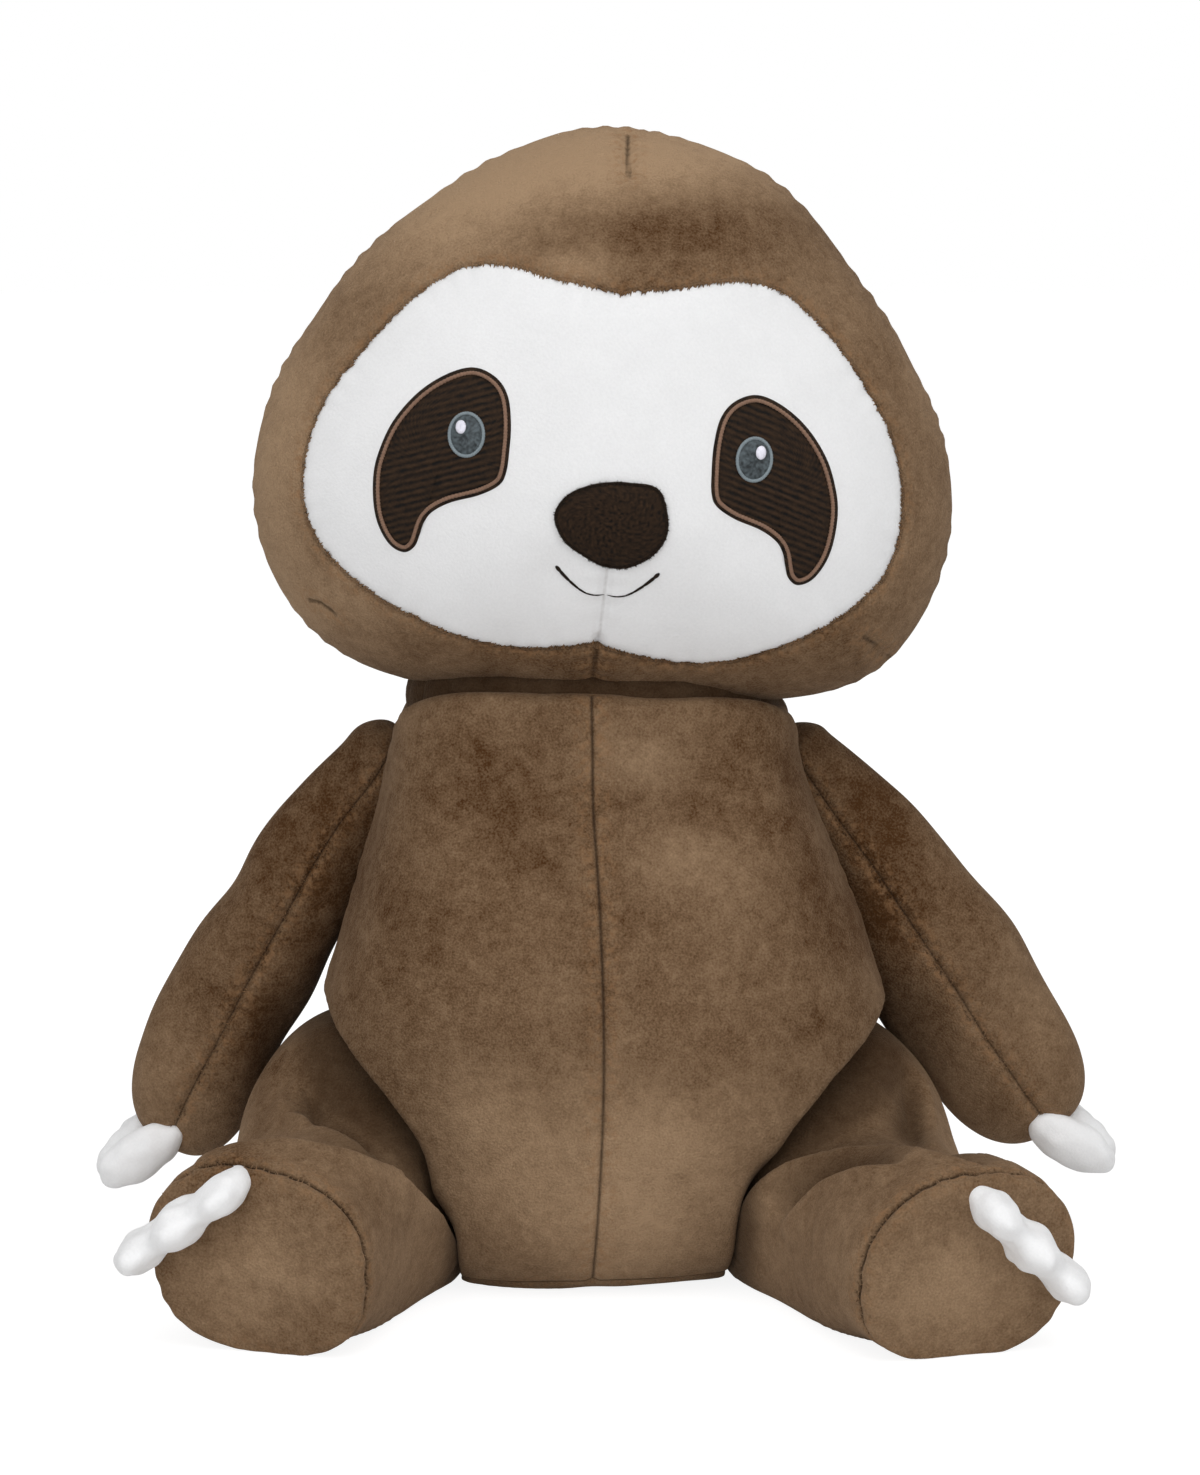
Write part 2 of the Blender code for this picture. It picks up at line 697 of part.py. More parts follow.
def arm(side, torso_pieces):
    """One arm on its shoulder pivot, and the room that it needs in the torso."""
    sign = SIDES[side]
    shoulder = Vector((sign * SHOULDER_ASIDE, SHOULDER_BACK, SHOULDER_HEIGHT))
    parent = pivot(side + "_shoulder_pivot", shoulder)
    splay = ARM_SPLAY[side]
    run = Vector((sign * math.sin(splay), -math.sin(ARM_FORWARD), -math.cos(splay))).normalized()
    across = Vector((0, 1, 0))
    across = (across - run * across.dot(run)).normalized()
    aside = across.cross(run) * sign
    aside = aside if aside.x * sign > 0 else -aside
    stations = ball_stations(SHOULDER_RADIUS)
    for along, thick in ARM_SHARES:
        shift = aside * bow_at(along)
        stations.append((along * ARM_LONG, thick * ARM_THICK, thick * ARM_THICK, shift))
    form = tube_form(ARM_SPOKES, stations, run, aside, across)

    def outer(bm, face):
        middle = face.calc_center_median()
        share = min(max(middle.dot(run) / ARM_LONG, 0), 1)
        return middle.dot(aside) > bow_at(share)

    inner = panel(form, lambda bm, face: not outer(bm, face))
    covers = [
        piece(side + "_arm_outer", panel(form, outer), "brown_pile", parent),
        piece(side + "_arm_inner", inner, "brown_pile", parent),
        piece(side + "_arm_stuffing", core(form, CLOTH + FIT), "fibre_fill", parent),
    ]
    gather = ball(SHOULDER_GATHER, GATHER_SPOKES, GATHER_RINGS)
    piece(side + "_shoulder_gather", gather, "brown_pile", parent)
    socket = room(SHOULDER_GATHER, GATHER_SPOKES, GATHER_RINGS)
    mouth = bmesh.new()
    bmesh.ops.create_cone(mouth, cap_ends=True, segments=MOUTH_SIDES, radius1=SHOULDER_GATHER,
                          radius2=SHOULDER_GATHER, depth=2 * SHOULDER_RADIUS)
    to_torso = Vector((-sign, 0, 0)).to_track_quat("Z", "Y").to_matrix().to_4x4()
    moved(mouth, to_torso @ Matrix.Translation((0, 0, SHOULDER_RADIUS)))
    cut(covers, cutter(side + "_shoulder_socket", socket, parent),
        cutter(side + "_shoulder_mouth", mouth, parent))
    claw_run = Matrix.Rotation(-sign * HAND_CLAW_TURN, 3, "Y") @ run
    through = claw_run.cross(across).normalized()
    place = run * (ARM_LONG + HAND_CLAW_REACH) + aside * HAND_CLAW_ASIDE[side]
    claw = moved(claw_form(HAND_CLAW_WIDE, HAND_CLAW_THICK, HAND_CLAW_LONG),
                 columns(claw_run, across, through, place))
    claws = piece(side + "_hand_claws", claw, "white_plush", parent)
    cut([claws], cutter(side + "_hand_room", core(form, -LOOSE_FIT), parent))
    ahead = Vector((sign * math.sin(ARM_SWING_ASIDE), -math.cos(ARM_SWING_ASIDE), 0))
    swing_axis = run.cross(ahead).normalized()
    turns = [
        Matrix.Rotation(-sign * raised, 3, "Y") @ Matrix.Rotation(swung, 3, swing_axis)
        for raised, swung in ((0, 0), (0, ARM_SWING / 2), (0, ARM_SWING), (ARM_RAISE, ARM_SWING))
    ]
    root = swept_room(form, turns, ARM_ROOT_RINGS)
    cut(torso_pieces, cutter(side + "_arm_room", core(form, -LOOSE_FIT), parent),
        cutter(side + "_shoulder_room", root, parent))


def leg(side, torso_pieces):
    """One leg on its hip pivot, cut flat where it lies, and the room that it needs."""
    sign = SIDES[side]
    hip = Vector((sign * HIP_ASIDE, 0, HIP_HEIGHT))
    parent = pivot(side + "_hip_pivot", hip)
    splay = LEG_SPLAY[side]
    flat = Vector((sign * math.sin(splay), -math.cos(splay), 0))
    run = (flat * LEG_LONG + Vector((0, 0, -LEG_DROP))).normalized()
    aside = Vector((sign * math.cos(splay), math.sin(splay), 0))
    upward = aside.cross(run)
    upward = upward if upward.z > 0 else -upward
    stations = ball_stations(HIP_RADIUS)

    for along, wider, higher, sag in LEG_SHARES:
        wide = HIP_RADIUS + (SOLE_HALF_WIDTH - HIP_RADIUS) * wider
        high = HIP_RADIUS + (SOLE_HALF_HEIGHT - HIP_RADIUS) * higher
        stations.append((along * LEG_LONG, wide, high, -upward * LEG_SAG * sag))
    sole_ring = len(stations) - 1
    for along, fill in SOLE_SHARES:
        wide, high = SOLE_HALF_WIDTH * fill, SOLE_HALF_HEIGHT * fill
        stations.append((along * LEG_LONG, wide, high, Vector()))
    form = tube_form(LEG_SPOKES, stations, run, aside, upward, math.pi / LEG_SPOKES)
    for vert in form.verts:
        vert.co.z = max(vert.co.z, -HIP_HEIGHT)
    cover = panel(form, lambda bm, face: face_ring(bm, face) < sole_ring)
    covers = [
        piece(side + "_leg_cover", cover, "brown_pile", parent),
        piece(side + "_leg_stuffing", core(form, CLOTH + FIT), "fibre_fill", parent),
    ]
    sole = panel(form, lambda bm, face: face_ring(bm, face) >= sole_ring)
    piece(side + "_sole_pad", sole, "brown_pile", parent)
    gather = ball(HIP_GATHER, GATHER_SPOKES, GATHER_RINGS)
    piece(side + "_hip_gather", gather, "brown_pile", parent)
    mouth = bmesh.new()
    bmesh.ops.create_cone(mouth, cap_ends=True, segments=MOUTH_SIDES, radius1=HIP_GATHER_OPEN,
                          radius2=HIP_GATHER_OPEN, depth=2 * HIP_RADIUS)
    to_torso = Vector((-sign, 0, 0)).to_track_quat("Z", "Y").to_matrix().to_4x4()
    moved(mouth, to_torso @ Matrix.Translation((0, 0, HIP_RADIUS)))
    cut(covers, cutter(side + "_hip_socket", room(HIP_GATHER, GATHER_SPOKES, GATHER_RINGS), parent),
        cutter(side + "_hip_mouth", mouth, parent))
    tilt = FOOT_CLAW_ROUND[side]
    radial = aside * math.cos(tilt) + upward * math.sin(tilt)
    rim = aside * (math.cos(tilt) * SOLE_HALF_WIDTH) + upward * (math.sin(tilt) * SOLE_HALF_HEIGHT)
    through = run.cross(radial).cross(run)
    place = run * LEG_LONG + rim - radial * FOOT_CLAW_THICK
    claw = moved(claw_form(FOOT_CLAW_WIDE, FOOT_CLAW_THICK, FOOT_CLAW_LONG),
                 columns(run, through.cross(run), through, place))
    claws = piece(side + "_foot_claws", claw, "white_plush", parent)
    cut([claws], cutter(side + "_foot_room", core(form, -LOOSE_FIT), parent))
    turns = [
        Matrix.Rotation(sign * spread, 3, "Z") @ Matrix.Rotation(-lift, 3, "X")
        for spread in (0, LEG_SPREAD)
        for lift in (LEG_LOWER, LEG_LOWER / 2, 0, LEG_LIFT)
    ]
    cut(torso_pieces, cutter(side + "_leg_sweep", swept_room(form, turns), parent))


def neck(torso_pieces, head_pieces):
    """The ball of stuffing in the neck, and the gusset round it, with their room."""
    place = Vector((0, 0, NECK_HEIGHT))
    parent = pivot("neck_pivot", place)
    plug = ball(NECK_RADIUS)
    piece("neck_stuffing", plug, "fibre_fill", parent)
    ring = bmesh.new()
    inner = (NECK_RADIUS + LOOSE_FIT) / math.cos(math.pi / GUSSET_SPOKES)
    bmesh.ops.create_circle(ring, cap_ends=False, segments=GUSSET_SPOKES, radius=inner)
    rim = bmesh.ops.extrude_edge_only(ring, edges=ring.edges[:])
    far = [vert for vert in rim["geom"] if isinstance(vert, bmesh.types.BMVert)]
    for vert in far:
        vert.co.x *= GUSSET_HALF_WIDTH / inner
        vert.co.y *= GUSSET_HALF_DEPTH / inner
    wall = bmesh.ops.extrude_face_region(ring, geom=ring.faces[:], use_keep_orig=True)
    for vert in wall["geom"]:
        if isinstance(vert, bmesh.types.BMVert):
            vert.co.z += GUSSET_DEEP
    bmesh.ops.recalc_face_normals(ring, faces=ring.faces[:])
    moved(ring, Matrix.Translation((0, 0, TORSO_HEIGHT + FIT - NECK_HEIGHT)))
    piece("neck_gusset", ring, "brown_pile", parent)
    cut(torso_pieces + head_pieces, cutter("neck_room", room(NECK_RADIUS), parent))


clear_scene()
PARTS = new_collection("plush_sloth")
CUTTERS = new_collection("cutters")
HEAD_EDGE = polar_table(HEAD_OUTLINE_SHARES)
FACE_EDGE = polar_table(FACE_OUTLINE_SHARES)


def main():
    """Build the toy from the seat up."""
    seat = pivot("seat_pivot", (0, 0, 0))
    torso_pieces = torso(seat)
    lean = Matrix.Rotation(HEAD_LEAN, 4, "Y")
    head_pivot = pivot("head_pivot", (0, 0, NECK_HEIGHT), lean)
    head_pieces = head(head_pivot)
    neck(torso_pieces, head_pieces)
    for side in SIDES:
        arm(side, torso_pieces)
        leg(side, torso_pieces)


main()
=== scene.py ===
"""The looks of a sitting plush sloth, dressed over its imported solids.

Metres, +Z up. The toy looks along -Y and its own left is +X.
"""

import json
import math
import random

import bmesh
import bpy
import numpy as np
from mathutils import Matrix, Vector, kdtree, noise
from mathutils.bvhtree import BVHTree

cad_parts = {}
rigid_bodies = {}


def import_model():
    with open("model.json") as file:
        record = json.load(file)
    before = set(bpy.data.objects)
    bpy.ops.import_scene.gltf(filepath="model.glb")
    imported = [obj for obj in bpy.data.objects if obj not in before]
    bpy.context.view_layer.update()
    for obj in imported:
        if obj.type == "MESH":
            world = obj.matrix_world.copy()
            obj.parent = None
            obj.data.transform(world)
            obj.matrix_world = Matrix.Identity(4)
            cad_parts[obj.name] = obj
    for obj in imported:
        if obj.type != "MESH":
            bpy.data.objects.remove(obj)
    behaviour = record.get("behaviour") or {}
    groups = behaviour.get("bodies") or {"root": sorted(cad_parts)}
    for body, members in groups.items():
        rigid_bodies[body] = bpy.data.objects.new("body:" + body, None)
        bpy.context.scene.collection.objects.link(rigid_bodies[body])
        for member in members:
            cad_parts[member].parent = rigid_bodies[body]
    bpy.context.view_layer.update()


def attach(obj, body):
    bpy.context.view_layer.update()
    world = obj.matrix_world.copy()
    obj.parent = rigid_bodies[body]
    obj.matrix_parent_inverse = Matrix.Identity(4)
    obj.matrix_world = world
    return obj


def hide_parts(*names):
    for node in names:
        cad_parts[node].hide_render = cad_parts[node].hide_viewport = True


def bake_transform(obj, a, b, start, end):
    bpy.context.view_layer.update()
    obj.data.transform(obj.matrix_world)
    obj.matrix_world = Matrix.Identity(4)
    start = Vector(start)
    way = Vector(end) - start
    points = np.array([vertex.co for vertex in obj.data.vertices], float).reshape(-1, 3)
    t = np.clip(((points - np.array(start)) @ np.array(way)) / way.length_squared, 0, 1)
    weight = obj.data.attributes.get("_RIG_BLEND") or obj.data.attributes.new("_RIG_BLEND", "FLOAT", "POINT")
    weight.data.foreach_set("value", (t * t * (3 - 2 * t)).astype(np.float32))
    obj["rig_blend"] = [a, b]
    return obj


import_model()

bl_info = {
    "name": "Plush Sloth",
    "version": (1, 0, 0),
    "blender": (4, 5, 0),
    "location": "3D View > Sidebar > Sloth",
    "description": "Dresses a sitting plush sloth's solids in pile cloth, embroidery and claws",
    "category": "Mesh",
}

FULL_TURN = 2 * math.pi
SIDES = {"left": 1, "right": -1}

# Cloth and stuffing: how much larger the cloth is than the form under it, how far the form
# starts drawn in, and how the cloth swells
CLOTH_SLACK = 0.02
HEAD_SLACK = 0.002
START_INSET = 0.0008
SWELL_SMOOTHING = 3
FINE_LEVELS, CORE_LEVELS = 2, 1
CLOTH_SETTINGS = {
    "quality": 6, "mass": 0.3, "tension_stiffness": 18, "compression_stiffness": 12,
    "bending_stiffness": 0.6, "use_pressure": True, "vertex_group_mass": "sewn",
}
# How uneven each form is: height, grain and seed
UNEVEN = {
    "head": (0.0012, 0.045, 1), "torso": (0.0016, 0.042, 2),
    "left_arm": (0.0010, 0.024, 3), "right_arm": (0.0010, 0.024, 4),
    "left_leg": (0.0009, 0.028, 5), "right_leg": (0.0009, 0.028, 9),
    "hand_claws": (0.0007, 0.0045, 11), "foot_claws": (0.0007, 0.0045, 12),
}

# Seams and folds
SEAM_REACH = 0.0100
OUTWARD_REACH = 0.0025
OUTWARD_STEPS = 8
STITCH_HOLE_PITCH = 0.0021
PUCKER_DRIFT, PUCKER_DRIFT_RATE, PUCKER_FADE_RATE = 1.9, 61, 173
FOLD_EDGE = 0.0030
FOLD_BLEND = 0.0009
# How dark the painted shade under a fold is, and how deep a hollow must be for full painted shade
FOLD_SHADE = 0.75
FULL_SHADE_CUT = 0.0030

# Loose pile: from one tuft to the next, its thickness and how unevenly it points
SEAM_TUFTS = (0.0007, 0.00034, 0.9)
FACE_TUFTS = (0.00036, 0.00038, 0.55)
NOSE_TUFTS = (0.00020, 0.00028, 0.35)
NOSE_TUFT_LONG = 0.00105
SEAM_TUFT_ASIDE = 0.0009
SEAM_TUFT_SINK = 0.0002
# The pile's tone near a seam for the tufts, and for the neck a seam gap's dark: painted shade under the head
SEAM_TUFT_TONE, FACE_TUFT_TONE, NECK_SHADE_TONE = 0.0020, 0.0022, 0.0002

# The photograph: its frame in pixels, and where it was taken from
PHOTO_WIDE, PHOTO_HIGH = 1200, 1475
SENSOR_MM = 36.0
CAMERA_PLACE = Vector((0.002, -1.200, 0.300))
CAMERA_TARGET = Vector((0.002, 0.0, 0.1365))
PIXELS_PER_LENGTH = 4723.0

# Stage: each lamp's name, place, size and power, and the place that all of them look at
LAMPS = (
    ("Stage_top", (0.10, -0.75, 1.55), 1.5, 12.5),
    ("Stage_front", (-0.70, -1.6, 0.45), 1.3, 8.5),
    ("Stage_side", (1.3, -1.3, 0.35), 1.2, 5.5),
)
LIT_PLACE = Vector((0, 0, 0.14))
SKY_FILL = 0.36
FLOOR_HALF_SIZE = 6
FLOOR_HEIGHT = -0.0002
FLOOR_COLOUR = (0.82, 0.82, 0.82)
FLOOR_GLOW, FLOOR_GLOW_SHARE = 1.45, 0.6

# Head
NECK_HEIGHT = 0.1455
HEAD_HALF_WIDTH = 0.0900
HEAD_HALF_HEIGHT = 0.0722
HEAD_FRONT_DEEP = 0.0520
HEAD_BACK_DEEP = 0.0500
HEAD_RISE = 0.0752
HEAD_ASIDE = -0.0015
HEAD_LEAN = math.radians(4.2)
FACE_MIDDLE_DROP = 0.0120
MUZZLE_LIFT = 0.0040
MUZZLE_DROP = 0.0300
MUZZLE_REACH = 0.0260
# The toy's left half, from the top down: shares of the half width and the half height
HEAD_OUTLINE_SHARES = (
    (0, 1), (0.18, 0.975), (0.29, 0.93), (0.42, 0.855), (0.51, 0.775), (0.59, 0.685),
    (0.70, 0.545), (0.79, 0.39), (0.855, 0.245), (0.92, 0.105), (0.965, -0.035),
    (0.99, -0.18), (1, -0.32), (0.987, -0.465), (0.953, -0.605), (0.91, -0.705),
    (0.855, -0.795), (0.767, -0.885), (0.66, -0.945), (0.533, -0.98), (0.28, -1), (0, -1),
)
FACE_OUTLINE_SHARES = (
    (0, 0.43), (0.155, 0.463), (0.28, 0.50), (0.355, 0.51), (0.445, 0.49), (0.533, 0.42),
    (0.633, 0.297), (0.71, 0.173), (0.783, 0.04), (0.833, -0.125), (0.845, -0.263),
    (0.833, -0.387), (0.79, -0.50), (0.71, -0.595), (0.60, -0.68), (0.49, -0.74),
    (0.378, -0.79), (0.267, -0.816), (0.155, -0.806), (0.067, -0.778), (0, -0.76),
)
# Where the head is fuller or flatter than both sides' shares: turn, half width and share
HEAD_DENTS = (
    (2.10, 0.26, -0.027), (0.70, 0.21, -0.027), (4.03, 0.18, 0.012), (5.69, 0.18, 0.012),
    (4.78, 0.55, 0.055), (1.86, 0.16, -0.010), (1.19, 0.16, 0.008),
)
# The same for the face, which hangs lower on the toy's left
FACE_DENTS = ((5.30, 0.42, 0.056), (4.66, 0.30, 0.040))
HEAD_SPOKES, FACE_RINGS, BAND_RINGS, BACK_RINGS = 100, 18, 12, 20

# Embroidery, placed from the middle of the head
EYES_SHIFT = 0.0010
MUZZLE_SHIFT = 0.0025
EYE_ASIDE = 0.0410
EYE_DROP = 0.0125
EYE_HALF_WIDTH = {"left": 0.0163, "right": 0.0168}
EYE_HALF_HEIGHT = {"left": 0.0232, "right": 0.0235}
EYE_SINK = {"left": 0.0014, "right": 0.0}
IRIS_SINK = {"left": 0.0010, "right": 0.0}
TRIM_INSET = 0.0013
TRIM_RADIUS = 0.00047
PATCH_OUTLINE_SHARES = (
    (-0.37, 0.99), (0.03, 0.89), (0.43, 0.67), (0.755, 0.36), (0.93, 0.04), (0.99, -0.215),
    (0.96, -0.52), (0.86, -0.755), (0.675, -0.94), (0.46, -1), (0.31, -0.925),
    (0.245, -0.79), (0.195, -0.66), (0.075, -0.535), (-0.185, -0.42), (-0.58, -0.32),
    (-0.86, -0.20), (-0.955, -0.065), (-0.98, 0.17), (-0.975, 0.45), (-0.90, 0.73),
    (-0.705, 0.91),
)
IRIS_ASIDE = 0.0353
IRIS_DROP = 0.0055
IRIS_HALF_WIDTH = 0.0042
IRIS_HALF_HEIGHT = 0.0052
GLINT_ASIDE = 0.0015
GLINT_RISE = 0.0018
GLINT_HALF_WIDTH = 0.0013
GLINT_HALF_HEIGHT = 0.0017
NOSE_DROP = 0.0247
NOSE_HALF_WIDTH = 0.0140
NOSE_HALF_HEIGHT = 0.0109
NOSE_OUTLINE_SHARES = (
    (0, 0.99), (0.36, 0.99), (0.655, 0.96), (0.86, 0.76), (0.99, 0.21), (0.97, -0.24),
    (0.75, -0.66), (0.39, -0.94), (0.10, -0.99), (-0.14, -0.94), (-0.46, -0.74),
    (-0.80, -0.44), (-1.0, 0.10), (-0.83, 0.58), (-0.44, 0.87),
)
MOUTH_HALF_WIDTH = 0.0127
MOUTH_DROP = 0.0360
MOUTH_SAG = 0.0067
MOUTH_SHARES = (
    (0.02, 0.97), (0.20, 1), (0.35, 0.96), (0.49, 0.84), (0.66, 0.61), (0.83, 0.33), (1, 0),
)
MOUTH_RADIUS, MOUTH_THICKER = 0.00016, 0.00036
MOUTH_STITCHES = 5.5
MUZZLE_SEAM_DROP = 0.0325
MUZZLE_SEAM_LONG = 0.0225
MUZZLE_SEAM_ASIDE = 0.0008
MUZZLE_SEAM_STEPS = 12
# How far each part of the embroidery lies over the face, and how thick it is
PATCH_LIFT, PATCH_DEEP, PATCH_DOME = 0.00005, 0.00055, 0.0002
IRIS_LIFT, IRIS_DOME, GLINT_LIFT, GLINT_DOME, DISC_DEEP = 0.00075, 0.0007, 0.0016, 0.0005, 0.0002
NOSE_LIFT, NOSE_DEEP, NOSE_DOME = 0.0001, 0.0013, 0.0011
TRIM_LIFT, RIM_LIFT, RIM_RADIUS, MOUTH_LIFT, FUZZ_LIFT = 0.00065, 0.0010, 0.00042, 0.00015, 0.0006
FUZZ_INSET = 0.0005
THREAD_SLANT = 0.34
OUTLINE_POINTS = 176

# Neck
NECK_RADIUS = 0.0220
GUSSET_HALF_WIDTH = 0.0416
GUSSET_HALF_DEPTH = 0.0240
GUSSET_RADIUS = 0.0058
GUSSET_TALLER = 1.5
GUSSET_RISE = 0.0020
GUSSET_RUCK, GUSSET_RUCKS = 0.010, 24
# It stays with the torso below the first height over the neck's middle, turns above the second
GUSSET_TWIST_RISES = (0.0040, 0.0110)

# Torso
TORSO_HEIGHT = 0.1430
TORSO_HALF_WIDTH = 0.0760
TORSO_HALF_DEPTH = 0.0520
BELLY_SWAY = 0.0030
BELLY_FORWARD = 0.0030
SWAY_SHARE = 1.1
TORSO_SQUARENESS = 2.3
CROWN_SHARE = 0.90
CROWN_FRONT = 0.0072
CROWN_SIDE = 0.0015
CROWN_REACH = 0.0300
CROWN_MIDDLE = 0.0028
CROWN_MIDDLE_REACH = 0.0260
CROWN_MIDDLE_FROM, CROWN_MIDDLE_SPAN = 0.94, 0.06
CROWN_MIDDLE_FRONT = -0.0100
TORSO_SPOKES, TORSO_RINGS = 88, 56
# From the top down: share of the height, of the half width and of the half depth
TORSO_SHARES = (
    (1, 0, 0), (1, 0.615, 0.60), (0.990, 0.668, 0.665), (0.97, 0.690, 0.71), (0.93, 0.705, 0.75),
    (0.84, 0.755, 0.80), (0.72, 0.835, 0.87), (0.60, 0.91, 0.94), (0.47, 0.975, 0.99),
    (0.33, 1, 1), (0.19, 0.95, 0.97), (0.075, 0.80, 0.88), (0.012, 0.60, 0.74),
    (0, 0.46, 0.62), (0, 0, 0),
)
SEAT_STATION = 12
POUCH_HALF_SIZES = (0.0240, 0.0270, 0.0085)
# Where the legs press into the torso's cloth: spread and lift, in degrees
PRESSING_POSES = ((0, 0), (0, -6), (0, 5), (15, 0))
TORSO_CLEARANCE = 0.0004

# Arms
BALL_STEPS = 4
SHOULDER_ASIDE = 0.0540
SHOULDER_HEIGHT = 0.1285
SHOULDER_BACK = 0.0100
SHOULDER_RADIUS = 0.0115
SHOULDER_GATHER = 0.0070
ARM_LONG = {"left": 0.1200, "right": 0.1187}
ARM_BOW = {"left": -0.0012, "right": 0.0030}
# Where an arm is fuller on its outer side: share of the length, half width and rise
ARM_FULL = {
    "left": ((0.27, 0.14, 0.0014), (0.53, 0.19, 0.0014)),
    "right": ((0.18, 0.13, 0.0011),),
}
ARM_FORWARD = math.radians(-4.0)
ARM_WIDE = {"left": 0.0198, "right": 0.0181}
ARM_DEEP = 0.0168
ARM_SPLAY = {"left": math.radians(34.5), "right": math.radians(29.5)}
# From the shoulder down: share of the length and of the thickness
ARM_SHARES = (
    (0.12, 0.74), (0.25, 0.83), (0.40, 0.93), (0.56, 1), (0.71, 1), (0.83, 0.97),
    (0.92, 0.83), (0.98, 0.50), (1, 0),
)
ARM_SPOKES, ARM_RINGS = 40, 52
HAND_CLAW_WIDE = 0.0165
HAND_CLAW_THICK = 0.0072
HAND_CLAW_LONG = 0.0150
HAND_CLAW_REACH = 0.0020
HAND_CLAW_ASIDE = {"left": 0.0020, "right": 0.0050}
HAND_CLAW_TURN = math.radians(27.0)

# Legs
HIP_ASIDE = 0.0555
HIP_HEIGHT = 0.0335
HIP_RADIUS = 0.0340
HIP_GATHER = 0.0100
LEG_LONG = 0.0990
LEG_DROP = 0.0115
LEG_SPLAY = {"left": math.radians(19.0), "right": math.radians(15.3)}
SOLE_HALF_WIDTH = 0.0280
SOLE_HALF_HEIGHT = 0.0235
LEG_SAG = 0.0050
# From the hip out: share of the length, how far the half width and the half height have gone
# from the hip's to the sole's, and share of the sag. Then the sole: share of the length and fill
LEG_SHARES = (
    (0.14, 0.08, 0.10, 0), (0.28, 0.50, 0.76, 0.60), (0.42, 0.92, 1.33, 1),
    (0.58, 1.08, 1.28, 0.80), (0.75, 0.92, 0.95, 0.20), (0.90, 0.95, 0.95, 0),
)
SOLE_SHARES = ((0.965, 0.995), (0.986, 0.93), (0.999, 0.62), (1.012, 0))
SETTLED_POWERS = (4.8, 2.9)
SETTLED_DEEP = 0.20
SETTLED_END = 0.97
SETTLED_FROM, SETTLED_SPAN = 0.55, 0.4
# How far and how dark shade is painted on a leg where it lies against the belly
BELLY_SHADE_REACH, BELLY_SHADE = 0.0050, 0.7
FOOT_SKEW = 0.09
FOOT_SKEW_FROM, FOOT_SKEW_SPAN = 0.45, 0.5
FOOT_SKEW_MIDDLE, FOOT_SKEW_OUTWARD = 0.6, 0.8
FOOT_SKEW_TURN = math.radians(48.0)
FOOT_SHIFT = {"left": Vector((0.0040, -0.0085, -0.0010)), "right": Vector((0, -0.0045, 0))}
LEG_SPOKES, LEG_RINGS = 52, 56
FOOT_CLAW_WIDE = 0.0200
FOOT_CLAW_THICK = 0.0056
FOOT_CLAW_LONG = 0.0130
CLAW_WAIST = 0.24
CLAW_TAPER = 0.14
FOOT_CLAW_ROUND = {"left": math.radians(46.0), "right": math.radians(54.0)}
FOOT_CLAW_SHIFT = {"left": (0.0062, 0.0028), "right": (0.0010, 0.0048)}

# Folds and seams that the photograph shows, in its pixels
CHIN_SEAM = ((598, 640), (595, 662), (592, 690))
CROWN_DART = ((628, 132), (628, 140), (628, 156), (629, 174))
CHEEK_DARTS = (((308, 600), (322, 607), (335, 615)), ((864, 636), (877, 647), (890, 658)))
BELLY_CREASE = ((540, 817), (570, 814), (600, 818))
# A fold's line, which way the cloth on top lies from it (right, up), its rise and its reach
LEG_FOLDS = {
    "right": (
        (((196, 1163), (241, 1150), (281, 1148), (321, 1156), (361, 1170), (415, 1197),
          (442, 1223), (462, 1250)), (0.2, -1), 1.0, 1.0),
        (((282, 1097), (293, 1116), (349, 1141), (404, 1180), (440, 1212)), (-0.3, -1), 0.5, 0.6),
        (((298, 1082), (302, 1100), (313, 1124)), (-1, -0.3), 0.45, 0.45),
    ),
    "left": (
        (((727, 1238), (752, 1193), (791, 1166), (847, 1154), (898, 1152), (936, 1157),
          (984, 1166)), (-0.2, -1), 0.8, 1.0),
        (((780, 1227), (824, 1184), (863, 1169), (900, 1163)), (0.4, -1), 0.6, 0.7),
        (((917, 1070), (922, 1116), (928, 1148)), (1, 0), 0.7, 0.5),
    ),
}

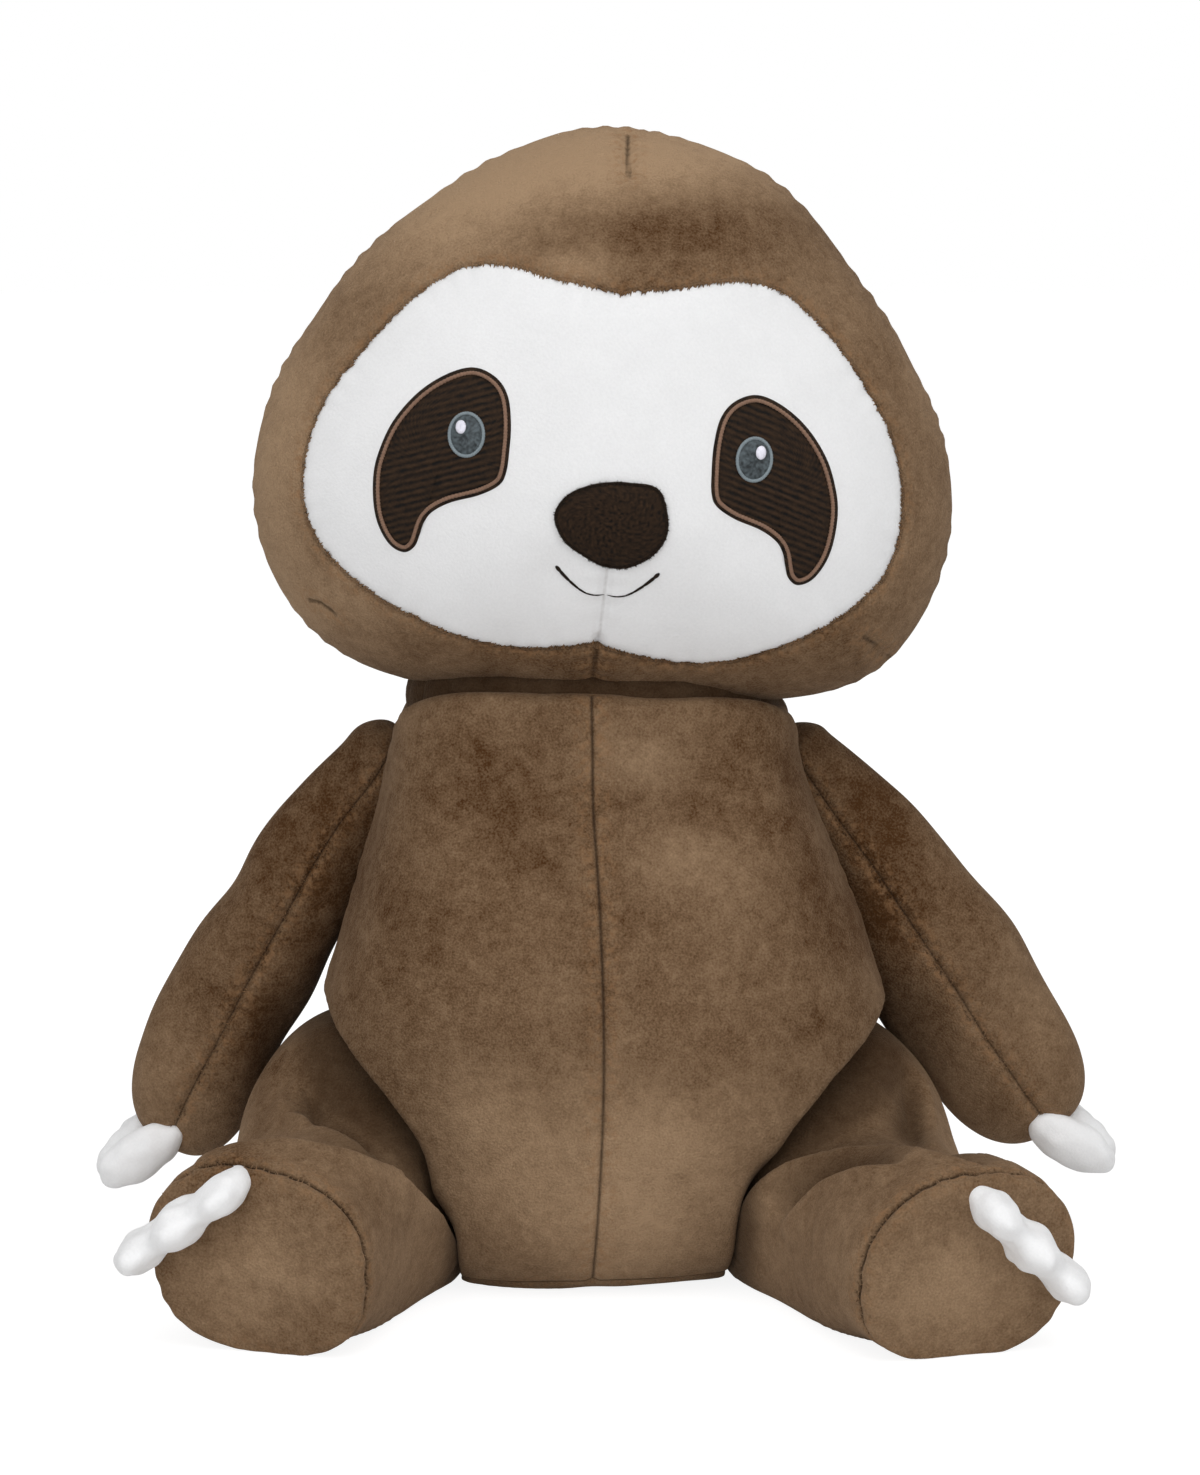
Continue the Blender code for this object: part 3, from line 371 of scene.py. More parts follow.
# Where the pile is coloured light or dark, partly by its own nap and partly as painted light:
# painted highlights on the top of the head and on its side at -X, and painted shade under the chin,
# on the chest below the head and at the tops of the arms. x, z, half width, half height and weight
NAP_AND_PAINTED_LIGHT_STROKES = (
    (0.003, 0.284, 0.060, 0.012, 0.85), (-0.038, 0.270, 0.026, 0.016, 0.50),
    (0.012, 0.271, 0.034, 0.010, -0.36), (-0.002, 0.258, 0.014, 0.004, 0.30),
    (-0.079, 0.214, 0.012, 0.050, 0.48), (0.086, 0.206, 0.012, 0.050, 0.16),
    (-0.072, 0.172, 0.020, 0.014, 0.25), (-0.015, 0.160, 0.060, 0.008, -0.12),
    (-0.030, 0.130, 0.030, 0.018, -0.17), (0.012, 0.134, 0.013, 0.007, 0.22),
    (0.036, 0.132, 0.026, 0.014, -0.20), (0.020, 0.110, 0.018, 0.008, 0.18),
    (0.080, 0.052, 0.018, 0.016, 0.16), (-0.020, 0.086, 0.040, 0.026, -0.14),
    (0.010, 0.062, 0.060, 0.014, -0.10), (0.004, 0.028, 0.034, 0.030, 0.50),
    (-0.029, 0.055, 0.022, 0.018, 0.20), (0.041, 0.057, 0.018, 0.018, 0.14),
    (-0.072, 0.105, 0.020, 0.030, -0.30), (0.074, 0.103, 0.020, 0.030, -0.36),
    (-0.086, 0.055, 0.008, 0.020, -0.20), (0.114, 0.062, 0.014, 0.022, 0.14),
    (-0.080, 0.020, 0.020, 0.018, 0.32), (0.083, 0.020, 0.022, 0.018, 0.30),
    (-0.045, 0.018, 0.014, 0.014, 0.08), (-0.078, 0.043, 0.014, 0.014, -0.05),
    (0.074, 0.046, 0.016, 0.014, -0.16),
)


# Properties


def length(name, default, description):
    """A length that a user may change."""
    return bpy.props.FloatProperty(
        name=name, default=default, description=description, unit="LENGTH", precision=5, min=0
    )


def share(name, default, description):
    """A share or weight that a user may change."""
    return bpy.props.FloatProperty(name=name, default=default, description=description, min=0)


def colour(name, default, description):
    """A colour that a user may change."""
    return bpy.props.FloatVectorProperty(
        name=name, default=default, description=description, subtype="COLOR", size=3, min=0, max=1
    )


class SlothSizes(bpy.types.PropertyGroup):
    """Sizes of the cloth, the seams and the stitches."""

    cloth: length("Cloth", 0.0016, "Thickness of the cover's cloth")
    fill_gap: length("Fill gap", 0.0014, "Room between the cloth and the stuffing")
    fold: length("Fold", 0.0050, "How high the cloth on top of a fold stands")
    fold_reach: length("Fold reach", 0.0110, "How far a fold runs out from its line")
    groove: length("Groove", 0.0016, "How deep a seam draws the cloth in")
    groove_width: length("Groove width", 0.0016, "How wide a seam's groove is")
    pucker: length("Pucker", 0.00035, "How high the puckers along a seam stand")
    pucker_pitch: length("Pucker pitch", 0.0062, "From one pucker to the next")
    pucker_reach: length("Pucker reach", 0.0060, "How far from the seam a pucker runs out")
    swell: length("Swell", 0.0022, "The furthest that the stuffing pushes a cover out")
    pressure: share("Pressure", 1.6, "How hard the stuffing pushes the covers")
    frames: bpy.props.IntProperty(name="Frames", default=20, description="Steps of the swelling")
    pile: length("Pile", 0.0019, "Length of the pile's tufts along a seam")
    stitch_pitch: length("Stitch pitch", 0.0017, "From one row of embroidery to the next")


class SlothColours(bpy.types.PropertyGroup):
    """Colours of the cloths and threads."""

    # The pile's tone runs between these two, for its nap and for the painted highlights and shade laid on it
    pile_dark: colour("Pile, dark", (0.064, 0.026, 0.007), "Pile brushed away from the light")
    pile_light: colour("Pile, light", (0.368, 0.245, 0.146), "Pile brushed towards the light")
    pile_warm: colour("Pile, warm", (0.270, 0.148, 0.072), "Pulled pile along the seams")
    pile_sheen: colour("Pile sheen", (0.80, 0.62, 0.45), "Sheen of the pile's tips")
    plush: colour("White plush", (0.84, 0.84, 0.845), "Face")
    # The claws are the face's white plush painted lighter, for the light that they miss facing forward
    claw: colour("Claw plush", (0.95, 0.95, 0.955), "Claws")
    thread_dark: colour("Dark thread", (0.0185, 0.0096, 0.0046), "Eye patches, nose and mouth")
    thread_rose: colour("Rose thread", (0.205, 0.120, 0.080), "Line inside the eye patches")
    iris: colour("Iris", (0.052, 0.064, 0.070), "Middle of the iris")
    iris_rim: colour("Iris rim", (0.20, 0.24, 0.26), "Rim of the iris")
    glint: colour("Glint", (0.82, 0.81, 0.90), "Highlight stitched on the iris")
    fibre: colour("Fibre", (0.80, 0.80, 0.78), "Stuffing")
    pouch: colour("Pouch", (0.45, 0.42, 0.36), "Cloth of the bean pouch")


# Shapes


def held(value, low=0, high=1):
    """A value kept between two limits."""
    return min(max(value, low), high)


def eased(way):
    """A share from 0 to 1, with soft ends."""
    way = held(way)
    return way * way * (3 - 2 * way)


def bell(way):
    """1 in the middle, and almost 0 two widths away."""
    return math.exp(-(way**2))


def squared(cosine, sine, power):
    """How far a squarish round reaches, at a place on its turn."""
    return (abs(cosine) ** power + abs(sine) ** power) ** (-1 / power)


def between(first, second, leaving, arriving, way):
    """A smooth curve from one value to the next, with a slope at each."""
    square, cube = way**2, way**3
    return (
        first * (2 * cube - 3 * square + 1)
        + leaving * (cube - 2 * square + way)
        + second * (3 * square - 2 * cube)
        + arriving * (cube - square)
    )


def smooth_at(table, at):
    """The value at a place in a rising table of (place, value), by a smooth curve."""
    last = len(table) - 1
    low = 0
    while low < last - 1 and table[low + 1][0] < at:
        low += 1

    def slope(index):
        before, after = table[max(index - 1, 0)], table[min(index + 1, last)]
        return (after[1] - before[1]) / (after[0] - before[0])

    (start, first), (end, second) = table[low], table[low + 1]
    span = end - start
    way = held((at - start) / span)
    return between(first, second, slope(low) * span, slope(low + 1) * span, way)


def steady_at(values, at):
    """The value at a place in a list, by a smooth curve that never overshoots."""
    low = held(int(at), 0, len(values) - 2)

    def step(index):
        return values[index + 1] - values[index] if 0 <= index < len(values) - 1 else None

    def slope(index):
        before, after = step(index - 1), step(index)
        if before is None or after is None:
            return after if before is None else before
        return 2 * before * after / (before + after) if before * after > 0 else 0

    return between(values[low], values[low + 1], slope(low), slope(low + 1), held(at - low))


def columns_of(rows):
    """Each column of a table of rows."""
    return [list(column) for column in zip(*rows)]


def polar_table(shares):
    """A half outline as (turn from straight down, reach from the middle of the face)."""
    table = []
    for across, up in reversed(shares):
        x = across * HEAD_HALF_WIDTH
        z = up * HEAD_HALF_HEIGHT + FACE_MIDDLE_DROP
        table.append((math.atan2(x, -z), math.hypot(x, z)))
    return table


HEAD_EDGE = polar_table(HEAD_OUTLINE_SHARES)
FACE_EDGE = polar_table(FACE_OUTLINE_SHARES)


def outline_reach(table, turn):
    """How far an outline lies from the middle of the face, the same on both sides."""
    return smooth_at(table, abs(math.remainder(turn + math.pi / 2, FULL_TURN)))


def dented(table, dents, turn):
    """How far an outline with its dents lies from the middle of the face."""
    fuller = 0
    for middle, half_width, share_of in dents:
        away = math.remainder(turn - middle, FULL_TURN) / half_width
        fuller += share_of * bell(away)
    return outline_reach(table, turn) * (1 + fuller)


def head_edge(turn):
    """How far the head's outline lies from the middle of the face."""
    return dented(HEAD_EDGE, HEAD_DENTS, turn)


def face_depth(x, z):
    """How far forward the head's front stands, at a place from the middle of the head."""
    up = z + FACE_MIDDLE_DROP
    edge = head_edge(math.atan2(up, x))
    way = min(math.hypot(x, up) / edge, 1)
    muzzle = bell(math.hypot(x, z + MUZZLE_DROP) / MUZZLE_REACH)
    return HEAD_FRONT_DEEP * math.sqrt(1 - way**2) + MUZZLE_LIFT * muzzle * (1 - way)


def head_place(turn, ring):
    """Where a point of the head lies, by its turn and its ring from the tip of the face."""
    edge = head_edge(turn)
    face = dented(FACE_EDGE, FACE_DENTS, turn)
    front_rings = FACE_RINGS + BAND_RINGS
    if ring <= FACE_RINGS:
        reach = face * ring / FACE_RINGS
    elif ring <= front_rings:
        reach = face + (edge - face) * math.sin((ring - FACE_RINGS) / BAND_RINGS * math.pi / 2)
    else:
        reach = edge * math.sin((1 - (ring - front_rings) / BACK_RINGS) * math.pi / 2)
    x = reach * math.cos(turn)
    z = reach * math.sin(turn) - FACE_MIDDLE_DROP
    if ring < front_rings:
        return Vector((x + HEAD_ASIDE, -face_depth(x, z), z + HEAD_RISE))
    back = HEAD_BACK_DEEP * math.sqrt(max(1 - (reach / edge) ** 2, 0))
    return Vector((x + HEAD_ASIDE, back, z + HEAD_RISE))


def head_panel(turn, ring):
    """0 for the face, 1 for the front cover and 2 for the back cover."""
    return 0 if ring < FACE_RINGS else 1 if ring < FACE_RINGS + BAND_RINGS else 2


TORSO_UP, TORSO_WIDE, TORSO_DEEP = columns_of(TORSO_SHARES)


def torso_place(turn, ring):
    """Where a point of the torso lies, by its turn and its ring from the top."""
    at = ring / TORSO_RINGS * (len(TORSO_SHARES) - 1)
    up, wide, deep = (steady_at(table, at) for table in (TORSO_UP, TORSO_WIDE, TORSO_DEEP))
    cosine, sine = math.cos(turn), math.sin(turn)
    spread = squared(cosine, sine, TORSO_SQUARENESS)
    swell = math.sin(math.pi * min(max(up, 0) * SWAY_SHARE, 1))
    x = cosine * spread * wide * TORSO_HALF_WIDTH + BELLY_SWAY * swell
    y = sine * spread * deep * TORSO_HALF_DEPTH - BELLY_FORWARD * swell
    crown = eased((up - CROWN_SHARE) / (1 - CROWN_SHARE)) * eased(wide / TORSO_SHARES[1][1])
    crown *= CROWN_SIDE + (CROWN_FRONT - CROWN_SIDE) * eased(abs(y) / CROWN_REACH)
    if y < CROWN_MIDDLE_FRONT:
        rising = eased((up - CROWN_MIDDLE_FROM) / CROWN_MIDDLE_SPAN)
        crown += CROWN_MIDDLE * bell(x / CROWN_MIDDLE_REACH) * rising
    return Vector((x, y, max(up, 0) * TORSO_HEIGHT + crown))


def torso_panel(turn, ring):
    """0 for the left front, 1 for the right front, 2 for the back and 3 for the seat."""
    if ring >= SEAT_STATION * TORSO_RINGS / (len(TORSO_SHARES) - 1):
        return 3
    if turn > 0:
        return 2
    return 0 if turn > -math.pi / 2 else 1


def ball_rows(radius):
    """The rings of the half ball that starts a limb, behind its pivot."""
    turns = [index / BALL_STEPS * math.pi / 2 for index in range(BALL_STEPS + 1)]
    return [(-radius * math.cos(t), radius * math.sin(t), radius * math.sin(t), 0) for t in turns]


class Limb:
    """A limb's pivot, directions and rings, as its solid has them."""

    def __init__(self, pivot, run, aside, across, shift_way, rows):
        self.pivot, self.run = pivot, run
        self.aside, self.across = aside, across
        self.shift_way = shift_way
        self.tables = columns_of(rows)
        self.last = len(rows) - 1
        self.end_shift = Vector()

    def middle(self, at):
        """The middle of the limb at a station, and its way along, half width and half height."""
        along, wide, high, shift = (steady_at(table, at) for table in self.tables)
        moved = self.end_shift * eased(along / LEG_LONG)
        middle = self.pivot + self.run * along + self.shift_way * shift + moved
        return middle, along, max(wide, 0), max(high, 0)

    def arm_place(self, turn, ring):
        """Where a point of the arm lies, by its turn and its ring from the root."""
        middle, _, wide, high = self.middle(ring / ARM_RINGS * self.last)
        return middle + self.aside * (wide * math.cos(turn)) + self.across * (high * math.sin(turn))

    def leg_place(self, turn, ring):
        """Where a point of the leg lies: round above, and settled on the floor below."""
        middle, along, wide, high = self.middle(ring / LEG_RINGS * self.last)
        cosine, sine = math.cos(turn), math.sin(turn)
        spread = 1
        if sine < 0 and along > 0:
            way = min(along / LEG_LONG, 1)
            if high > 0 and way < SETTLED_END:
                deep = 1 + SETTLED_DEEP * (1 - eased((way - SETTLED_FROM) / SETTLED_SPAN))
                high = max(high, deep * middle.z / self.across.z)
            start, end = SETTLED_POWERS
            power = start + (end - start) * way
            power = 2 + (power - 2) * eased(along / HIP_RADIUS)
            spread = squared(cosine, sine, power)
        skew = eased((along / LEG_LONG - FOOT_SKEW_FROM) / FOOT_SKEW_SPAN) * FOOT_SKEW
        skew *= eased(FOOT_SKEW_MIDDLE + FOOT_SKEW_OUTWARD * cosine)
        spread *= 1 + skew * math.cos(2 * (turn - FOOT_SKEW_TURN))
        point = middle + self.aside * (wide * cosine * spread)
        return point + self.across * (high * sine * spread)


def arm_shape(side):
    """The arm's limb on its shoulder."""
    sign = SIDES[side]
    splay = ARM_SPLAY[side]
    pivot = Vector((sign * SHOULDER_ASIDE, SHOULDER_BACK, SHOULDER_HEIGHT))
    run = Vector((sign * math.sin(splay), -math.sin(ARM_FORWARD), -math.cos(splay))).normalized()
    across = Vector((0, 1, 0))
    across = (across - run * across.dot(run)).normalized()
    aside = across.cross(run) * sign
    aside = aside if aside.x * sign > 0 else -aside
    rows = ball_rows(SHOULDER_RADIUS)
    for along, thick in ARM_SHARES:
        full = 0
        for middle, half_width, rise in ARM_FULL[side]:
            full += rise * bell((along - middle) / half_width)
        bow = ARM_BOW[side] * 4 * along * (1 - along) + full
        wide = thick * ARM_WIDE[side] + full
        rows.append((along * ARM_LONG[side], wide, thick * ARM_DEEP, bow))
    return Limb(pivot, run, aside, across, aside, rows)


def leg_shape(side):
    """The leg's limb on its hip."""
    sign = SIDES[side]
    splay = LEG_SPLAY[side]
    pivot = Vector((sign * HIP_ASIDE, 0, HIP_HEIGHT))
    flat = Vector((sign * math.sin(splay), -math.cos(splay), 0))
    run = (flat * LEG_LONG + Vector((0, 0, -LEG_DROP))).normalized()
    aside = Vector((sign * math.cos(splay), math.sin(splay), 0))
    upward = aside.cross(run)
    upward = upward if upward.z > 0 else -upward
    rows = ball_rows(HIP_RADIUS)
    for along, wider, higher, sag in LEG_SHARES:
        wide = HIP_RADIUS + (SOLE_HALF_WIDTH - HIP_RADIUS) * wider
        high = HIP_RADIUS + (SOLE_HALF_HEIGHT - HIP_RADIUS) * higher
        rows.append((along * LEG_LONG, wide, high, -LEG_SAG * sag))
    for along, fill in SOLE_SHARES:
        rows.append((along * LEG_LONG, SOLE_HALF_WIDTH * fill, SOLE_HALF_HEIGHT * fill, 0))
    limb = Limb(pivot, run, aside, upward, upward, rows)
    limb.end_shift = FOOT_SHIFT[side]
    return limb


SOLE_STATION = BALL_STEPS + len(LEG_SHARES) + 1


# Mesh work


def mesh_from(name, bm):
    """A new mesh with the form in it."""
    mesh = bpy.data.meshes.new(name)
    bm.to_mesh(mesh)
    return mesh


def linked(name, data):
    """A new object with this data, in the scene."""
    thing = bpy.data.objects.new(name, data)
    bpy.context.scene.collection.objects.link(thing)
    return thing


def ball(spokes, rings, radius=1):
    """A round form with its poles on Z.

    Blender makes its faces in another order each time, which would show in every seam and tuft,
    so they are made again in a fixed one.
    """
    rough = bmesh.new()
    bmesh.ops.create_uvsphere(rough, u_segments=spokes, v_segments=rings, radius=radius)
    rough.verts.index_update()
    faces = []
    for face in rough.faces:
        corners = [vert.index for vert in face.verts]
        first = corners.index(min(corners))
        faces.append(corners[first:] + corners[:first])
    bm = bmesh.new()
    verts = [bm.verts.new(vert.co) for vert in rough.verts]
    for corners in sorted(faces):
        bm.faces.new([verts[index] for index in corners])
    rough.free()
    bm.verts.index_update()
    bm.normal_update()
    return bm


def ring_of(point, rings):
    """How many rings from the top of a round ball a point lies."""
    return math.acos(held(point.z, -1, 1)) / math.pi * rings


def tone_all(bm, layer, value):
    """Give the whole form one value, which its material reads."""
    made = bm.verts.layers.float.new(layer)
    for vert in bm.verts:
        vert[made] = value


def smooth(bm, verts, rounds):
    """Ease the form at these verts."""
    for _ in range(rounds):
        bmesh.ops.smooth_vert(
            bm, verts=verts, factor=0.5, use_axis_x=True, use_axis_y=True, use_axis_z=True
        )


def draw_in(bm, inset):
    """Move the form's surface in."""
    for vert in bm.verts:
        vert.co -= vert.normal * inset


def closed_form(spokes, rings, place, panel_of):
    """A closed form of coarse faces: a ball's grid that goes where place puts it.

    A face's material number says which panel it belongs to.
    """
    bm = ball(spokes, rings)
    for face in bm.faces:
        middle = face.calc_center_median().normalized()
        turn = math.atan2(middle.y, middle.x)
        face.material_index = panel_of(turn, int(ring_of(middle, rings)))
    for vert in bm.verts:
        vert.co = place(math.atan2(vert.co.y, vert.co.x), round(ring_of(vert.co, rings)))
    bm.normal_update()
    bmesh.ops.recalc_face_normals(bm, faces=bm.faces[:])
    bm.normal_update()
    return bm


def seam_edges(bm, first=None, second=None):
    """The edges between two panels, or between all that meet."""
    found = []
    for edge in bm.edges:
        panels = {face.material_index for face in edge.link_faces}
        if len(panels) == 2 and (first is None or panels == {first, second}):
            found.append(edge)
    return found


def seam_line(bm, first, second):
    """The seams between two panels, each as its points in order."""
    ways = {}
    for edge in seam_edges(bm, first, second):
        for vert in edge.verts:
            ways.setdefault(vert, []).append(edge.other_vert(vert))
    lines = []
    left = set(ways)
    while left:
        ends = [vert for vert in left if len(ways[vert]) == 1]
        vert = min(ends or left, key=lambda v: v.index)
        line = []
        while vert is not None:
            line.append(vert.co.copy())
            left.discard(vert)
            vert = next((other for other in ways[vert] if other in left), None)
        if not ends:
            line.append(line[0].copy())
        lines.append(line)
    return lines


def swell_out(bm, sizes, slack):
    """Let the stuffing push the covers out between their seams, by cloth simulation."""
    draw_in(bm, START_INSET)
    scene = bpy.context.scene
    mesh = mesh_from("swelling", bm)
    form = linked("swelling", mesh)
    sewn = form.vertex_groups.new(name="sewn")
    bm.verts.index_update()
    edge_verts = {vert.index for edge in seam_edges(bm) for vert in edge.verts}
    sewn.add(sorted(edge_verts), 1, "REPLACE")
    cloth = form.modifiers.new("swelling", "CLOTH")
    for name, value in CLOTH_SETTINGS.items():
        setattr(cloth.settings, name, value)
    cloth.settings.shrink_min = -slack
    cloth.settings.uniform_pressure_force = sizes.pressure
    cloth.settings.effector_weights.gravity = 0
    cloth.point_cache.frame_start = 1
    cloth.point_cache.frame_end = sizes.frames
    for number in range(1, sizes.frames + 1):
        scene.frame_set(number)
    swollen = form.evaluated_get(bpy.context.evaluated_depsgraph_get()).data
    moves = [end.co - vert.co for vert, end in zip(bm.verts, swollen.vertices)]
    moves = [move * min(1, sizes.swell / max(move.length, 1e-9)) for move in moves]
    for _ in range(SWELL_SMOOTHING):
        moves = [
            sum((moves[edge.other_vert(vert).index] for edge in vert.link_edges), moves[vert.index])
            / (1 + len(vert.link_edges))
            for vert in bm.verts
        ]
    for vert, move in zip(bm.verts, moves):
        vert.co += move
    scene.frame_set(1)
    bpy.data.objects.remove(form, do_unlink=True)
    bpy.data.meshes.remove(mesh)


def refined(bm, levels):
    """The form after subdivision, with its panels kept."""
    mesh = mesh_from("refining", bm)
    bm.free()
    form = linked("refining", mesh)
    step = form.modifiers.new("finer", "SUBSURF")
    step.levels = levels
    step.render_levels = levels
    finer = bmesh.new()
    finer.from_mesh(form.evaluated_get(bpy.context.evaluated_depsgraph_get()).data)
    bpy.data.objects.remove(form, do_unlink=True)
    bpy.data.meshes.remove(mesh)
    tone_all(finer, "seam_near", SEAM_REACH)
    tone_all(finer, "seam_run", 0)
    # crease: where shade is painted on the pile, none at first
    tone_all(finer, "crease", 0)
    finer.normal_update()
    return finer


def dense_line(points, step=0.0005):
    """The line's points close together, each with the run up to it."""
    found, run = [], 0
    for start, end in zip(points, points[1:]):
        span = (end - start).length
        count = max(1, round(span / step))
        for index in range(count):
            found.append((start.lerp(end, index / count), run + span * index / count))
        run += span
    found.append((points[-1], run))
    return found, run


def along_line(bm, points, reach):
    """What lies near a line on a form, and the form's own outward way all along it.

    Gives (vert, place on the line, run up to it, distance, outward way), and the line's length.
    """
    line, whole = dense_line(points)
    tree = kdtree.KDTree(len(line))
    for index, (point, _) in enumerate(line):
        tree.insert(point, index)
    tree.balance()
    ways = [Vector() for _ in line]
    near = []
    for vert in bm.verts:
        point, index, away = tree.find(vert.co)
        if away < reach:
            near.append((vert, point, index, away))
            ways[index] += vert.normal * bell(away / OUTWARD_REACH)
    runs = [Vector()]
    for way in ways:
        runs.append(runs[-1] + way)
    count = len(ways)
    even = []
    for index in range(count):
        total = runs[min(index + OUTWARD_STEPS + 1, count)] - runs[max(index - OUTWARD_STEPS, 0)]
        even.append(total.normalized())
    return [(v, point, line[i][1], away, even[i]) for v, point, i, away in near], whole


def sew(bm, points, depth=1.0, width=1.0, pucker=1.0, shut=0.0, holes=1, tapered=False):
    """Draw the cloth in along a line, and pucker it on both sides.

    Shut is how tightly its gap is closed by pile, or None for a line without a seam.
    """
    if len(points) < 2:
        return
    sizes = bpy.context.scene.sloth_sizes
    wide = sizes.groove_width * width
    reach = max(SEAM_REACH, 3 * wide)
    near_of = bm.verts.layers.float["seam_near"]
    run_of = bm.verts.layers.float["seam_run"]
    near, whole = along_line(bm, points, 1.8 * reach)
    for vert, _, run, away, outward in near:
        if shut is not None and away + shut < vert[near_of]:
            vert[near_of], vert[run_of] = away + shut, run * holes
        fade = 1
        if tapered:
            fade = max(math.sin(math.pi * held(run / whole)), 0) ** 0.7
        groove = -sizes.groove * depth * bell(away / wide)
        drift = PUCKER_DRIFT * math.sin(run * PUCKER_DRIFT_RATE)
        wave = math.cos(FULL_TURN * run / sizes.pucker_pitch + drift)
        wave *= 0.6 + 0.6 * math.sin(run * PUCKER_FADE_RATE)
        ridge = sizes.pucker * pucker * wave * bell(away / sizes.pucker_reach)
        vert.co += outward * ((groove + ridge) * fade)
    bm.normal_update()


def fold(bm, points, over, rise, reach):
    """Lay the cloth on one side of a line over that on the other, and paint shade on the cloth under it."""
    if len(points) < 2:
        return
    over = Vector((over[0], over[1], over[1])).normalized()
    crease_shade_of = bm.verts.layers.float["crease"]
    near, whole = along_line(bm, points, 3 * reach)
    for vert, point, run, away, outward in near:
        if vert.normal.dot(outward) < 0:
            continue
        ends = max(math.sin(math.pi * run / whole), 0) ** 0.5
        offset = vert.co - point
        side = offset.dot(over) / max(offset.length, 1e-6) * away / FOLD_BLEND
        above = rise * eased(0.5 + side) * bell(away / reach)
        below = rise * eased(0.5 - side) * bell(away / reach / 1.5)
        vert.co += outward * ((above - below) * ends)
        # Painted shade on the cloth that lies under the fold
        shade_under = ends * eased(0.5 - side) * bell(away / reach / 1.9)
        vert[crease_shade_of] = max(vert[crease_shade_of], FOLD_SHADE * shade_under)
    smooth(bm, [vert for vert, _, _, away, _ in near if away < FOLD_EDGE], 4)
    bm.normal_update()


def paint_contact_shade(bm, other, reach, weight):
    """Paint shade on the pile that lies close to another form."""
    crease_shade_of = bm.verts.layers.float["crease"]
    tree = BVHTree.FromBMesh(other)
    for vert in bm.verts:
        found, normal, _, away = tree.find_nearest(vert.co, 3 * reach)
        if found is not None:
            away = max((vert.co - found).dot(normal), 0)
            vert[crease_shade_of] = max(vert[crease_shade_of], weight * bell(away / reach))


def on_photo(bm, pixels):
    """The points of the form that the photograph shows at these pixels."""
    tree = BVHTree.FromBMesh(bm)
    ahead = (CAMERA_TARGET - CAMERA_PLACE).normalized()
    right = ahead.cross(Vector((0, 0, 1))).normalized()
    up = right.cross(ahead)
    points = []
    for x, y in pixels:
        way = ahead * PIXELS_PER_LENGTH
        way += right * (x - PHOTO_WIDE / 2) + up * (PHOTO_HIGH / 2 - y)
        hit = tree.ray_cast(CAMERA_PLACE, way.normalized())[0]
        if hit is not None:
            points.append(hit)
    return points


def soften(bm, amount, grain, seed):
    """Uneven stuffing: low swells and hollows all over."""
    offset = Vector((seed * 3.1, seed * 1.7, seed * 2.3))
    for vert in bm.verts:
        vert.co += vert.normal * (amount * noise.noise(vert.co / grain + offset))
    bm.normal_update()


def set_clear(bm, blockers, spine, margin):
    """Hollow the form where others lie, along rays from its spine, and paint shade in the hollows."""
    trees = [BVHTree.FromBMesh(blocker) for blocker in blockers]
    bm.verts.index_update()
    crease_shade_of = bm.verts.layers.float["crease"]
    cuts = {}
    for vert in bm.verts:
        start = spine(vert.co)
        way = vert.co - start
        reach = way.length
        if reach < margin:
            continue
        least = reach
        for tree in trees:
            hit, _, _, distance = tree.ray_cast(start, way / reach, reach)
            if hit is not None:
                least = min(least, distance - margin)
        if least < reach:
            cuts[vert] = reach - least
    near = set(cuts)
    for _ in range(5):
        spread = {}
        near |= {edge.other_vert(vert) for vert in near for edge in vert.link_edges}
        for vert in near:
            others = [cuts.get(edge.other_vert(vert), 0) for edge in vert.link_edges]
            spread[vert] = max(cuts.get(vert, 0), 0.9 * sum(others) / len(others))
        cuts = spread
    for vert, cut in cuts.items():
        way = vert.co - spine(vert.co)
        vert.co -= way.normalized() * cut
        # Painted shade, darker where the hollow is deeper
        vert[crease_shade_of] = max(vert[crease_shade_of], min(cut / FULL_SHADE_CUT, 1) * 0.8)
    smooth(bm, list(near), 6)
    bm.normal_update()


def turned(bm, pivot, turn):
    """A copy of the form, turned about its pivot."""
    copy = bm.copy()
    matrix = Matrix.Translation(pivot) @ turn.to_4x4() @ Matrix.Translation(-pivot)
    bmesh.ops.transform(copy, matrix=matrix, verts=copy.verts[:])
    return copy


def drawn_in(bm, inset, rounds=2):
    """A plain closed copy of the form, its surface moved in by the inset and eased."""
    copy = bm.copy()
    copy.normal_update()
    draw_in(copy, inset)
    smooth(copy, copy.verts[:], rounds)
    return copy


def lay_nap_and_painted_light(mesh):
    """Lay the pile light or dark in broad strokes: partly the nap's own tone, partly painted highlights and
    painted shade.
    """
    count = len(mesh.vertices)
    places = np.empty(3 * count)
    mesh.vertices.foreach_get("co", places)
    places = places.reshape(-1, 3)
    laid = np.zeros(count)
    for x, z, wide, high, weight in NAP_AND_PAINTED_LIGHT_STROKES:
        away = ((places[:, 0] - x) / wide) ** 2 + ((places[:, 2] - z) / high) ** 2
        laid += weight * np.exp(-away)
    # The brushed value holds the nap's tone and the painted highlights and shade together
    mesh.attributes.new("brushed", "FLOAT", "POINT").data.foreach_set("value", laid)


